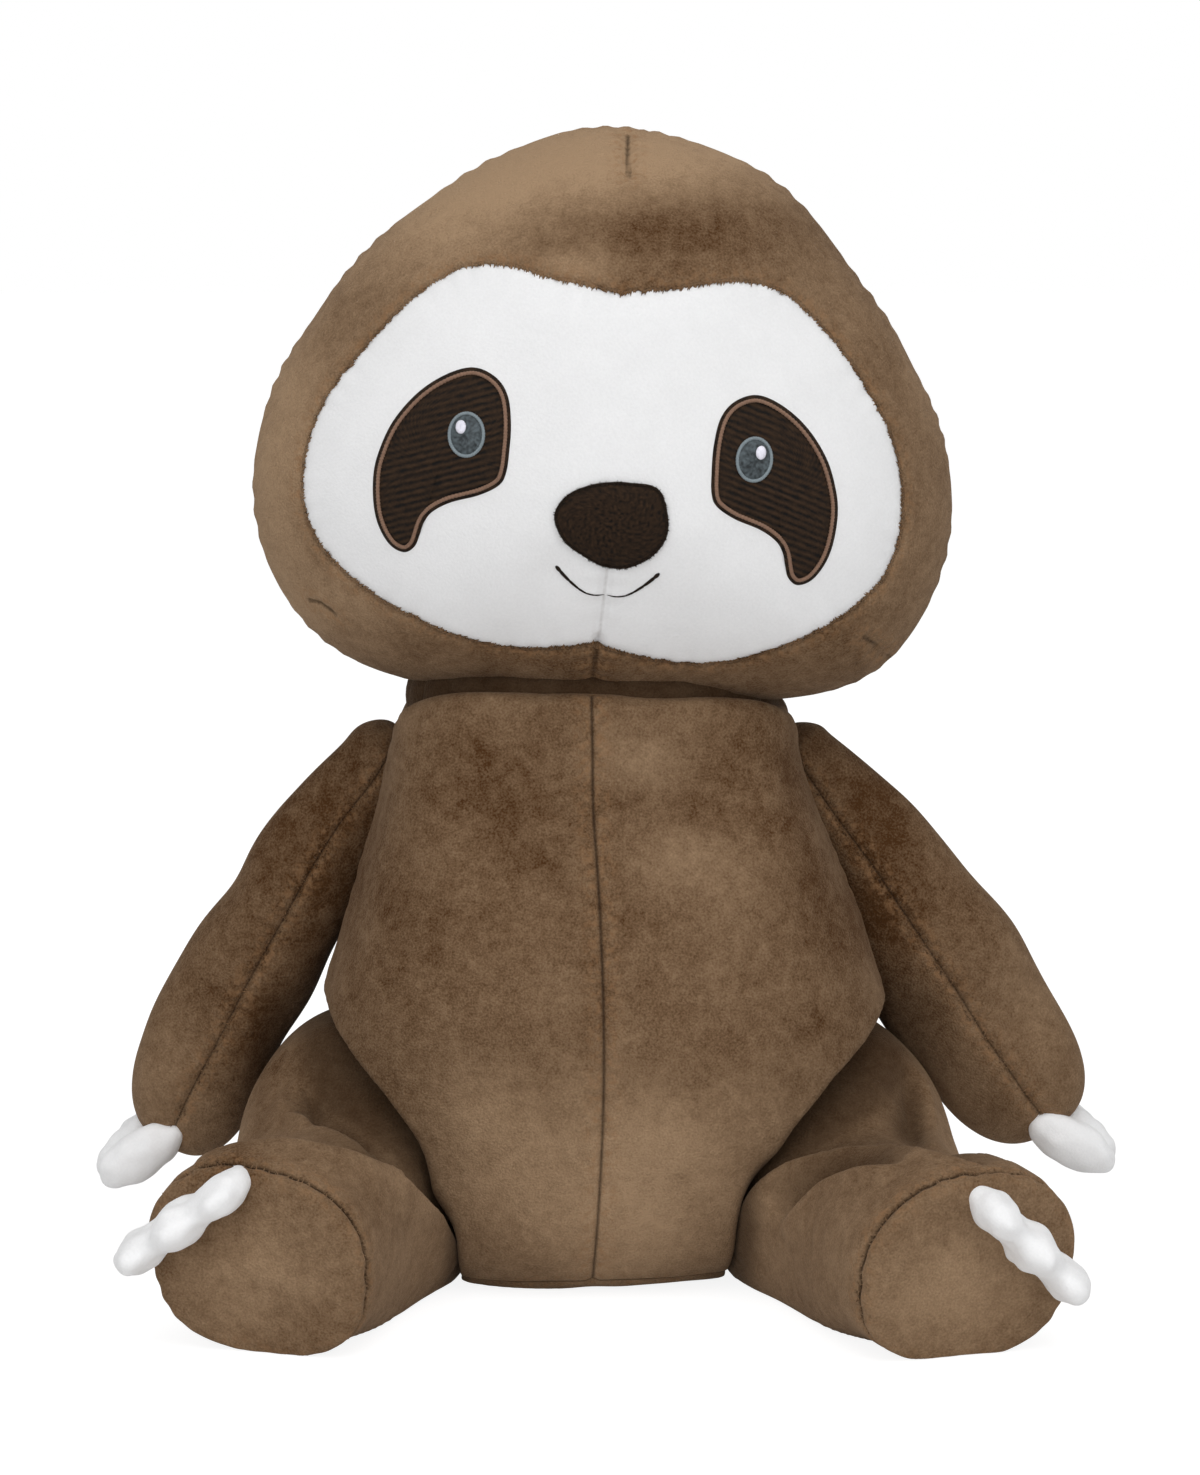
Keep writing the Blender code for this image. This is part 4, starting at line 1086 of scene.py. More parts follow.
def make_piece(name, bm, finish_name, body, node=None, place=None):
    """A finished piece from a form: named, coloured, and riding on its body if it has one."""
    if place is not None:
        bmesh.ops.transform(bm, matrix=place, verts=bm.verts[:])
    for face in bm.faces:
        face.smooth = True
        face.material_index = 0
    mesh = mesh_from(name, bm)
    bm.free()
    slot = SLOT_NAMES.get(finish_name, finish_name)
    if slot == "brown_pile":
        lay_nap_and_painted_light(mesh)
    mesh.materials.append(finish(finish_name))
    thing = linked(name, mesh)
    if body is not None:
        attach(thing, body)
    if node is not None:
        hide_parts(node)
    return thing


def make_panels(bm, specs, body, place=None):
    """Part the form into its panels, each a closed cloth of its own."""
    cloth = bpy.context.scene.sloth_sizes.cloth
    outward = bm.verts.layers.float_vector.new("outward")
    for vert in bm.verts:
        vert[outward] = vert.normal
    for index, (name, finish_name, node) in enumerate(specs):
        panel = bm.copy()
        spare = [face for face in panel.faces if face.material_index != index]
        bmesh.ops.delete(panel, geom=spare, context="FACES")
        outward = panel.verts.layers.float_vector["outward"]
        wall = bmesh.ops.extrude_face_region(panel, geom=panel.faces[:], use_keep_orig=True)
        for vert in wall["geom"]:
            if isinstance(vert, bmesh.types.BMVert):
                vert.co -= vert[outward] * cloth
        panel.normal_update()
        bmesh.ops.recalc_face_normals(panel, faces=panel.faces[:])
        panel.verts.layers.float_vector.remove(panel.verts.layers.float_vector["outward"])
        make_piece(name, panel, finish_name, body, node, place)
    bm.free()


def swept(points, radius_at, sides, closed=False, flat=1.0, out=Vector((0, -1, 0))):
    """A tube along the points, closed at its ends or into a ring.

    Flat is its size along out, as a share of its size across.
    """
    count = len(points)
    bm = bmesh.new()
    bmesh.ops.create_grid(bm, x_segments=count - 1, y_segments=sides, size=1)
    spans = count if closed else count - 1
    for vert in bm.verts:
        index = round((vert.co.x + 1) / 2 * (count - 1))
        turn = (vert.co.y + 1) / 2 * FULL_TURN
        before = points[index - 1] if closed else points[max(index - 1, 0)]
        after = points[(index + 1) % count] if closed else points[min(index + 1, count - 1)]
        along = (after - before).normalized()
        outward = (out - along * out.dot(along)).normalized()
        beside = along.cross(outward)
        ring = beside * math.cos(turn) + outward * (math.sin(turn) * flat)
        vert.co = points[index] + ring * radius_at(index / spans)
    bmesh.ops.remove_doubles(bm, verts=bm.verts[:], dist=1e-7)
    rims = [edge for edge in bm.edges if edge.is_boundary]
    if closed:
        bmesh.ops.bridge_loops(bm, edges=rims)
    else:
        bmesh.ops.holes_fill(bm, edges=rims, sides=0)
    bmesh.ops.recalc_face_normals(bm, faces=bm.faces[:])
    return bm


def tufts(line, lean, long, seed, pitch, thick, spread):
    """Small bent points of pile along a line, each a closed cone."""
    dice = random.Random(seed)
    bm = bmesh.new()
    for point, _ in dense_line(line, pitch)[0]:
        way = Vector(lean(point))
        side = Vector([dice.uniform(-1, 1) for _ in range(3)])
        way = (way + side * spread).normalized()
        size = long * dice.uniform(0.55, 1.15)
        turn = way.to_track_quat("Z", "Y").to_matrix().to_4x4()
        place = point + side * (0.3 * pitch) + way * (size * 0.32)
        bmesh.ops.create_cone(
            bm, cap_ends=True, segments=5, radius1=thick, radius2=thick * 0.12, depth=size,
            matrix=Matrix.Translation(place) @ turn,
        )
    return bm


def seam_pile(name, body, lines, cover, seed):
    """The pulled pile that stands along a seam, on both sides of its stitches."""
    long = 0.8 * bpy.context.scene.sloth_sizes.pile
    tree = BVHTree.FromBMesh(cover)
    whole = bmesh.new()
    for line in lines:
        for aside in (-1, 1):
            seated = []
            for before, point, after in zip(line, line[1:], line[2:]):
                found, normal, _, _ = tree.find_nearest(point)
                beside = normal.cross(after - before).normalized()
                place = found + beside * (aside * SEAM_TUFT_ASIDE)
                seated.append(place - normal * SEAM_TUFT_SINK)

            def lean(point):
                return tree.find_nearest(point)[1]

            part = tufts(seated, lean, long, seed + aside, *SEAM_TUFTS)
            mesh = mesh_from("joining", part)
            part.free()
            whole.from_mesh(mesh)
            bpy.data.meshes.remove(mesh)
    tone_all(whole, "seam_near", SEAM_TUFT_TONE)
    make_piece(name, whole, "brown_pile", body)


# Materials


def add(tree, kind, inputs=(), **settings):
    """A node with its settings, and its inputs set or linked."""
    made = tree.nodes.new(kind)
    for name, value in settings.items():
        setattr(made, name, value)
    for name, value in dict(inputs).items():
        if isinstance(value, bpy.types.NodeSocket):
            tree.links.new(value, made.inputs[name])
        else:
            made.inputs[name].default_value = value
    return made


def sum_of(tree, operation, first, second=None):
    """The result of a sum with one value or two."""
    inputs = {0: first} if second is None else {0: first, 1: second}
    return add(tree, "ShaderNodeMath", inputs, operation=operation).outputs[0]


def noted(tree, name):
    """The value that the mesh holds under this name."""
    return add(tree, "ShaderNodeAttribute", attribute_name=name).outputs["Fac"]


def shaded(colour_in, factor):
    """A colour made lighter or darker."""
    return tuple(min(part * factor, 1) for part in colour_in)


def weighed(tree, parts):
    """The sum of values, each less its middle and times its weight."""
    total = None
    for socket, weight, middle in parts:
        part = sum_of(tree, "SUBTRACT", socket, middle)
        part = sum_of(tree, "MULTIPLY", part, weight)
        total = part if total is None else sum_of(tree, "ADD", total, part)
    return total


def grain_of(tree, place, scale, detail=2.0, distortion=0.0):
    """A noise's value at a scale, in waves to the metre."""
    inputs = {"Vector": place, "Scale": scale, "Detail": detail, "Distortion": distortion}
    return add(tree, "ShaderNodeTexNoise", inputs).outputs["Fac"]


def mixed(tree, factor, first, second):
    """Two colours mixed by a factor."""
    made = add(tree, "ShaderNodeMix", data_type="RGBA")
    for index, value in ((0, factor), (6, first), (7, second)):
        if isinstance(value, bpy.types.NodeSocket):
            tree.links.new(value, made.inputs[index])
        else:
            made.inputs[index].default_value = (*value, 1) if index else value
    return made.outputs[2]


def ranged(tree, value, low, high, to_low=0.0, to_high=1.0):
    """A value mapped from one range to another, and held inside it."""
    names = ("Value", "From Min", "From Max", "To Min", "To Max")
    inputs = zip(names, (value, low, high, to_low, to_high))
    return add(tree, "ShaderNodeMapRange", inputs).outputs["Result"]


def cloth_shader(name):
    """A material, its tree, its shader and the piece's own place."""
    material = bpy.data.materials.new("Sloth_" + name)
    material.use_nodes = True
    tree = material.node_tree
    shader = tree.nodes["Principled BSDF"]
    place = add(tree, "ShaderNodeTexCoord").outputs["Object"]
    return material, tree, shader, place


def dressed(tree, shader, colour_out, height, rough, sheen, tint, bump, distance, specular=0.25):
    """Wire a cloth's colour and bump, and set its plain values on the shader."""
    tree.links.new(colour_out, shader.inputs["Base Color"])
    inputs = {"Height": height, "Strength": bump, "Distance": distance}
    normal = add(tree, "ShaderNodeBump", inputs).outputs["Normal"]
    tree.links.new(normal, shader.inputs["Normal"])
    shader.inputs["Roughness"].default_value = rough
    shader.inputs["Sheen Weight"].default_value = sheen
    shader.inputs["Sheen Roughness"].default_value = 0.45
    shader.inputs["Sheen Tint"].default_value = (*tint, 1)
    shader.inputs["Specular IOR Level"].default_value = specular


def pile_cloth(colours, name):
    """Short brushed pile: light and dark strokes that are partly painted highlights and shade, fine grain,
    painted shade in creases, and pulled tufts at the seams.
    """
    material, tree, shader, place = cloth_shader(name)
    broad = grain_of(tree, place, 24, 2)
    brushed = grain_of(tree, place, 85, 4, 0.3)
    fleck = grain_of(tree, place, 340, 3)
    fine = grain_of(tree, place, 1900, 2)
    # The strokes: the nap's own tone together with painted highlights and painted shade
    strokes = noted(tree, "brushed")
    parts = [(broad, 0.6, 0.5), (brushed, 0.42, 0.5), (fleck, 0.45, 0.5), (fine, 0.75, 0.5)]
    parts.append((strokes, 1.0, -0.37))
    tone = ranged(tree, weighed(tree, parts), 0, 1)
    body = mixed(tree, tone, colours.pile_dark, colours.pile_light)
    near = noted(tree, "seam_near")
    rise = ranged(tree, near, 0.0005, 0.0016)
    fall = ranged(tree, near, 0.0016, 0.0060, 1, 0)
    hump = sum_of(tree, "MULTIPLY", rise, fall)
    pulled = ranged(tree, grain_of(tree, place, 620, 3), 0.46, 0.64)
    hump = sum_of(tree, "MULTIPLY", hump, pulled)
    hump = sum_of(tree, "MULTIPLY", hump, 0.62)
    # Painted shade in creases, under folds and where forms lie against each other
    body = mixed(tree, noted(tree, "crease"), body, shaded(colours.pile_dark, 0.4))
    warm = mixed(tree, hump, body, colours.pile_warm)
    wave = sum_of(tree, "MULTIPLY", noted(tree, "seam_run"), FULL_TURN / STITCH_HOLE_PITCH)
    hole = ranged(tree, sum_of(tree, "SINE", wave), 0.1, 0.9)
    hole = sum_of(tree, "MULTIPLY", hole, ranged(tree, near, 0.0004, 0.0010, 0.7, 0))
    gap = ranged(tree, near, 0.0002, 0.0009, 0.75, 0)
    gap = sum_of(tree, "MAXIMUM", gap, hole)
    dark = mixed(tree, gap, warm, shaded(colours.pile_dark, 0.25))
    height = weighed(tree, [(brushed, 0.7, 0), (fleck, 0.7, 0), (fine, 0.6, 0)])
    dressed(tree, shader, dark, height, 0.92, 0.11, colours.pile_sheen, 0.60, 0.0011, 0.10)
    return material


def white_plush(colour_in, name):
    """Smooth white plush with a faint grain."""
    material, tree, shader, place = cloth_shader(name)
    soft = grain_of(tree, place, 90, 3)
    fine = grain_of(tree, place, 1500, 3)
    tone = ranged(tree, weighed(tree, [(soft, 0.8, 0.5), (fine, 1.0, 0.5)]), -0.5, 0.5)
    body = mixed(tree, tone, shaded(colour_in, 0.93), shaded(colour_in, 1.04))
    gap = ranged(tree, noted(tree, "seam_near"), 0.0001, 0.0006, 0.35, 0)
    body = mixed(tree, gap, body, (0.30, 0.27, 0.26))
    height = weighed(tree, [(soft, 0.6, 0), (fine, 0.5, 0)])
    dressed(tree, shader, body, height, 0.90, 0.25, (1, 1, 1), 0.30, 0.0008)
    return material


def thread(name, colour_in, contrast, sheen, rough):
    """Embroidery: rows of thread with dark gaps, by the piece's own thread attribute."""
    material, tree, shader, place = cloth_shader(name)
    rows = noted(tree, "thread")
    fine = grain_of(tree, place, 1500, 2)
    tone = ranged(tree, weighed(tree, [(rows, 1.0, 0), (fine, 0.8, 0.5)]), 0, 1)
    body = mixed(tree, tone, shaded(colour_in, 1 - contrast), shaded(colour_in, 1 + contrast))
    height = weighed(tree, [(rows, 0.6, 0), (fine, 0.4, 0)])
    dressed(tree, shader, body, height, rough, sheen, (0.9, 0.8, 0.7), 0.35, 0.0005, 0.18)
    return material


def plain_fibre(name, colour_in, scale):
    """Loose stuffing or plain woven cloth, out of sight inside the covers."""
    material, tree, shader, place = cloth_shader(name)
    clumps = grain_of(tree, place, scale, 4, 1.0)
    fine = grain_of(tree, place, scale * 14, 2)
    tone = ranged(tree, weighed(tree, [(clumps, 1.2, 0.5), (fine, 0.8, 0.5)]), -0.5, 0.5)
    body = mixed(tree, tone, shaded(colour_in, 0.8), colour_in)
    dressed(tree, shader, body, clumps, 0.95, 0.1, (1, 1, 1), 0.6, 0.0015)
    return material


def finish(name):
    """The named finish, made once."""
    made = bpy.data.materials.get("Sloth_" + name)
    if made is not None:
        return made
    colours = bpy.context.scene.sloth_colours
    if name == "brown_pile":
        return pile_cloth(colours, name)
    if name in PLUSH_FINISHES:
        return white_plush(tuple(getattr(colours, PLUSH_FINISHES[name])), name)
    if name in LOOSE_FINISHES:
        key, scale = LOOSE_FINISHES[name]
        return plain_fibre(name, tuple(getattr(colours, key)), scale)
    key, *settings = THREAD_FINISHES[name]
    return thread(name, tuple(getattr(colours, key)), *settings)


# Colour, contrast, sheen and roughness of each thread; colour and grain of what is inside
THREAD_FINISHES = {
    "dark_thread": ("thread_dark", 0.95, 0.0, 0.8),
    "felt_nose": ("thread_dark", 0.8, 0.04, 0.9),
    "rose_thread": ("thread_rose", 0.4, 0.05, 0.55),
    "blue_thread": ("iris", 0.65, 0.05, 0.4),
    "rim_thread": ("iris_rim", 0.3, 0.1, 0.35),
    "pale_thread": ("glint", 0.1, 0.1, 0.35),
}
LOOSE_FINISHES = {"fibre_fill": ("fibre", 160), "pouch_cloth": ("pouch", 240)}
# The white plush, and a copy of it painted lighter for the claws
PLUSH_FINISHES = {"white_plush": "plush", "claw_plush": "claw"}
# The finishes whose slot has another name than their own
SLOT_NAMES = {"claw_plush": "white_plush", "felt_nose": "dark_thread", "rim_thread": "blue_thread"}


# Pieces

FORMS = {}
HEAD_PLACE = Matrix.Translation((0, 0, NECK_HEIGHT)) @ Matrix.Rotation(HEAD_LEAN, 4, "Y")


def stuffed(spokes, rings, place, panel_of, slack=CLOTH_SLACK):
    """A form swollen by its stuffing: refined for the covers, and coarser for the stuffing."""
    bm = closed_form(spokes, rings, place, panel_of)
    swell_out(bm, bpy.context.scene.sloth_sizes, slack)
    return refined(bm.copy(), FINE_LEVELS), refined(bm, CORE_LEVELS)


def onto_floor(bm, height=0.0):
    """Lay what is under the floor flat on it."""
    for vert in bm.verts:
        vert.co.z = max(vert.co.z, height)
    bm.normal_update()


def clear_pieces(prefix):
    """Take away the pieces whose names start so, before they are made again."""
    for thing in [item for item in bpy.data.objects if item.name.startswith(prefix)]:
        bpy.data.objects.remove(thing, do_unlink=True)


class SLOTH_OT_legs(bpy.types.Operator):
    """Make both legs: cover, sole, stuffing and hip gather."""

    bl_idname = "sloth.legs"
    bl_label = "Legs"

    def execute(self, context):
        sizes = context.scene.sloth_sizes
        inner = sizes.cloth + sizes.fill_gap
        belly = closed_form(TORSO_SPOKES, TORSO_RINGS, torso_place, torso_panel)
        sole_ring = SOLE_STATION / (SOLE_STATION + len(SOLE_SHARES)) * LEG_RINGS
        for side in SIDES:
            name, body = side.capitalize() + "Leg", side + "_leg"
            clear_pieces(name)
            limb = leg_shape(side)
            bm, core = stuffed(
                LEG_SPOKES, LEG_RINGS, limb.leg_place, lambda turn, ring: int(ring >= sole_ring)
            )
            soften(bm, *UNEVEN[body])
            for pixels, over, rise, reach in LEG_FOLDS[side]:
                line = on_photo(bm, pixels)
                for form in (bm, core):
                    fold(form, line, over, sizes.fold * rise, sizes.fold_reach * reach)
            FORMS[body] = core.copy()
            # Painted shade where the leg lies against the belly
            paint_contact_shade(bm, belly, BELLY_SHADE_REACH, BELLY_SHADE)
            for line in seam_line(bm, 0, 1):
                sew(bm, line, depth=0.7, width=0.7, pucker=0.6)
            onto_floor(bm)
            seams = [[point for point in seam if point.z > 0.001] for seam in seam_line(bm, 0, 1)]
            seam_pile(name + "_seam_pile", body, seams, bm, 31)
            fill = drawn_in(core, inner)
            core.free()
            onto_floor(fill, inner)
            specs = (
                (name + "_cover", "brown_pile", body + "_cover"),
                (name + "_sole", "brown_pile", side + "_sole_pad"),
            )
            make_panels(bm, specs, body)
            make_piece(
                name + "_stuffing", fill, "fibre_fill", body, body + "_stuffing",
            )
            gather = gathered_ball(limb.pivot, HIP_GATHER)
            make_piece(
                name + "_hip_gather", gather, "brown_pile", side + "_hip", side + "_hip_gather"
            )
        return {"FINISHED"}


def gathered_ball(pivot, radius):
    """A root drawn together: a ball with folds that run to its poles."""
    bm = ball(48, 24, radius)
    for vert in bm.verts:
        turn = math.atan2(vert.co.y, vert.co.x)
        flat = math.hypot(vert.co.x, vert.co.y) / radius
        vert.co *= 1 - 0.05 * flat * (0.5 + 0.5 * math.cos(12 * turn))
    bmesh.ops.translate(bm, verts=bm.verts[:], vec=pivot)
    return bm


class SLOTH_OT_arms(bpy.types.Operator):
    """Make both arms: outer and inner cover, stuffing and shoulder gather."""

    bl_idname = "sloth.arms"
    bl_label = "Arms"

    def execute(self, context):
        sizes = context.scene.sloth_sizes
        for side in SIDES:
            name, body = side.capitalize() + "Arm", side + "_arm"
            clear_pieces(name)
            limb = arm_shape(side)
            bm, core = stuffed(
                ARM_SPOKES, ARM_RINGS, limb.arm_place,
                lambda turn, ring: int(abs(turn) > math.pi / 2),
            )
            soften(bm, *UNEVEN[body])
            FORMS[body] = core.copy()
            for line in seam_line(bm, 0, 1):
                sew(bm, line, depth=0.6, width=0.8, pucker=0.9, shut=0.0005)
            seam_pile(name + "_seam_pile", body, seam_line(bm, 0, 1), bm, 41)
            fill = drawn_in(core, sizes.cloth + sizes.fill_gap)
            core.free()
            specs = [
                (name + half, "brown_pile", body + half) for half in ("_outer", "_inner")
            ]
            make_panels(bm, specs, body)
            make_piece(
                name + "_stuffing", fill, "fibre_fill", body, body + "_stuffing",
            )
            gather = gathered_ball(limb.pivot, SHOULDER_GATHER)
            make_piece(
                name + "_shoulder_gather", gather, "brown_pile", side + "_shoulder",
                side + "_shoulder_gather",
            )
        return {"FINISHED"}


def claw_lobes(wide, thick, long):
    """Three soft puffs side by side: X is outwards, Y across and Z through."""
    bm = ball(120, 64)
    for vert in bm.verts:
        x, y, z = vert.co
        round_at = max(math.hypot(x, z), 1e-6)
        puff = 1 - CLAW_WAIST * math.sin(1.5 * math.pi * min(abs(y), 2 / 3)) ** 2
        puff *= 1 - CLAW_TAPER * eased(1.5 * abs(y))
        puff *= math.sqrt(max(1 - max(3 * abs(y) - 2, 0) ** 2, 0)) / round_at
        vert.co = Vector((x * long * puff, y * wide, z * thick * puff))
    bm.normal_update()
    return bm


class SLOTH_OT_claws(bpy.types.Operator):
    """Make the puffy white claws of the hands and feet."""

    bl_idname = "sloth.claws"
    bl_label = "Claws"

    def execute(self, context):
        for side, sign in SIDES.items():
            limb = arm_shape(side)
            run = Matrix.Rotation(-sign * HAND_CLAW_TURN, 3, "Y") @ limb.run
            through = run.cross(limb.across).normalized()
            place = limb.pivot + limb.run * (ARM_LONG[side] + HAND_CLAW_REACH)
            place += limb.aside * HAND_CLAW_ASIDE[side]
            bm = claw_lobes(HAND_CLAW_WIDE, HAND_CLAW_THICK, HAND_CLAW_LONG)
            self.puff(bm, side, "hand", "arm", place, (run, limb.across, through))
            limb = leg_shape(side)
            tilt = FOOT_CLAW_ROUND[side]
            radial = limb.aside * math.cos(tilt) + limb.across * math.sin(tilt)
            rim = limb.aside * (math.cos(tilt) * SOLE_HALF_WIDTH)
            rim += limb.across * (math.sin(tilt) * SOLE_HALF_HEIGHT)
            through = limb.run.cross(radial).cross(limb.run)
            place = limb.pivot + limb.run * LEG_LONG + rim - radial * FOOT_CLAW_THICK
            inward, down = FOOT_CLAW_SHIFT[side]
            along_rim = limb.aside * math.sin(tilt) - limb.across * math.cos(tilt)
            place += limb.end_shift - radial * inward + along_rim * down
            bm = claw_lobes(FOOT_CLAW_WIDE, FOOT_CLAW_THICK, FOOT_CLAW_LONG)
            ways = (limb.run, through.cross(limb.run), through)
            self.puff(bm, side, "foot", "leg", place, ways)
        return {"FINISHED"}

    @staticmethod
    def puff(bm, side, end, limb_name, place, ways):
        """Place the claws, and make their plush uneven."""
        prefix = side.capitalize() + end.capitalize()
        clear_pieces(prefix)
        tone_all(bm, "seam_near", SEAM_REACH)
        turn = Matrix(ways).transposed().to_4x4()
        bmesh.ops.transform(bm, matrix=Matrix.Translation(place) @ turn, verts=bm.verts[:])
        bm.normal_update()
        soften(bm, *UNEVEN[end + "_claws"])
        # The claws take the lighter copy of the white plush: painted light
        make_piece(
            prefix + "_claws", bm, "claw_plush", side + "_" + limb_name,
            side + "_" + end + "_claws",
        )


class SLOTH_OT_torso(bpy.types.Operator):
    """Make the torso: front panels, back, seat, stuffing and bean pouch."""

    bl_idname = "sloth.torso"
    bl_label = "Torso"

    def execute(self, context):
        sizes = context.scene.sloth_sizes
        inner = sizes.cloth + sizes.fill_gap
        clear_pieces("Torso")
        bm, core = stuffed(TORSO_SPOKES, TORSO_RINGS, torso_place, torso_panel)
        soften(bm, *UNEVEN["torso"])
        for first, second in ((0, 1), (0, 2), (1, 2)):
            for line in seam_line(bm, first, second):
                line = [point for point in line if not self.on_top(point)]
                sew(bm, line, depth=0.45, width=0.5, pucker=0.4, shut=0.0003, holes=0)
        for first in (0, 1, 2):
            for line in seam_line(bm, first, 3):
                sew(bm, line, depth=0.4, width=0.8, pucker=0, shut=0.0002, holes=0)
        crease = on_photo(bm, BELLY_CREASE)
        sew(bm, crease, depth=0.8, width=1.6, pucker=0, shut=None, holes=0, tapered=True)
        onto_floor(bm)
        blockers = []
        for side, sign in SIDES.items():
            leg = FORMS[side + "_leg"]
            hip = Vector((sign * HIP_ASIDE, 0, HIP_HEIGHT))
            for spread, lift in PRESSING_POSES:
                turn = Matrix.Rotation(math.radians(sign * spread), 3, "Z")
                turn = turn @ Matrix.Rotation(math.radians(-lift), 3, "X")
                blockers.append(turned(leg, hip, turn))
            blockers.append(FORMS[side + "_arm"])

        def spine(point):
            return Vector((0, -0.004, held(point.z, 0.012, TORSO_HEIGHT - 0.02)))

        for form in (bm, core):
            set_clear(form, blockers, spine, TORSO_CLEARANCE)
        onto_floor(bm)
        fill = drawn_in(core, inner, 4)
        core.free()
        onto_floor(fill, inner)
        specs = (
            ("Torso_left_front", "brown_pile", "torso_left_front"),
            ("Torso_right_front", "brown_pile", "torso_right_front"),
            ("Torso_back", "brown_pile", "torso_back"),
            ("Torso_seat", "brown_pile", "seat_panel"),
        )
        make_panels(bm, specs, "torso")
        make_piece(
            "Torso_stuffing", fill, "fibre_fill", "torso", "torso_stuffing"
        )
        lift = sizes.cloth + 2 * sizes.fill_gap + POUCH_HALF_SIZES[2]
        place = Matrix.Translation((0, 0, lift)) @ Matrix.Diagonal((*POUCH_HALF_SIZES, 1))
        make_piece(
            "Torso_bean_pouch", ball(48, 24), "pouch_cloth", "torso", "bean_pouch", place,
        )
        return {"FINISHED"}

    @staticmethod
    def on_top(point):
        """Whether a point lies inside the rim of the torso's top, where the neck hides it."""
        _, wide, deep = TORSO_SHARES[1]
        across, through = point.x / (wide * TORSO_HALF_WIDTH), point.y / (deep * TORSO_HALF_DEPTH)
        return point.z > CROWN_SHARE * TORSO_HEIGHT and math.hypot(across, through) < 1


class SLOTH_OT_neck(bpy.types.Operator):
    """Make the neck: the strip of cloth and the wad of stuffing."""

    bl_idname = "sloth.neck"
    bl_label = "Neck"

    def execute(self, context):
        clear_pieces("Neck")
        points = []
        for index in range(180):
            turn = FULL_TURN * index / 180
            ruck = 1 + GUSSET_RUCK * math.cos(GUSSET_RUCKS * turn)
            x = GUSSET_HALF_WIDTH * math.cos(turn) * ruck
            y = GUSSET_HALF_DEPTH * math.sin(turn) * ruck
            points.append(Vector((x, y, NECK_HEIGHT + GUSSET_RISE)))
        up = Vector((0, 0, 1))
        bm = swept(points, lambda way: GUSSET_RADIUS, 28, True, GUSSET_TALLER, up)
        # Painted shade: the strip is coloured as dark as a seam's gap, for the head's shade over it
        tone_all(bm, "seam_near", NECK_SHADE_TONE)
        gusset = make_piece("Neck_gusset", bm, "brown_pile", None, "neck_gusset")
        start, end = (Vector((0, 0, NECK_HEIGHT + rise)) for rise in GUSSET_TWIST_RISES)
        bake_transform(gusset, "torso", "neck_gusset", start=start, end=end)
        make_piece(
            "Neck_stuffing", ball(64, 32, NECK_RADIUS), "fibre_fill", "neck_stuffing",
            "neck_stuffing", Matrix.Translation((0, 0, NECK_HEIGHT)),
        )
        return {"FINISHED"}


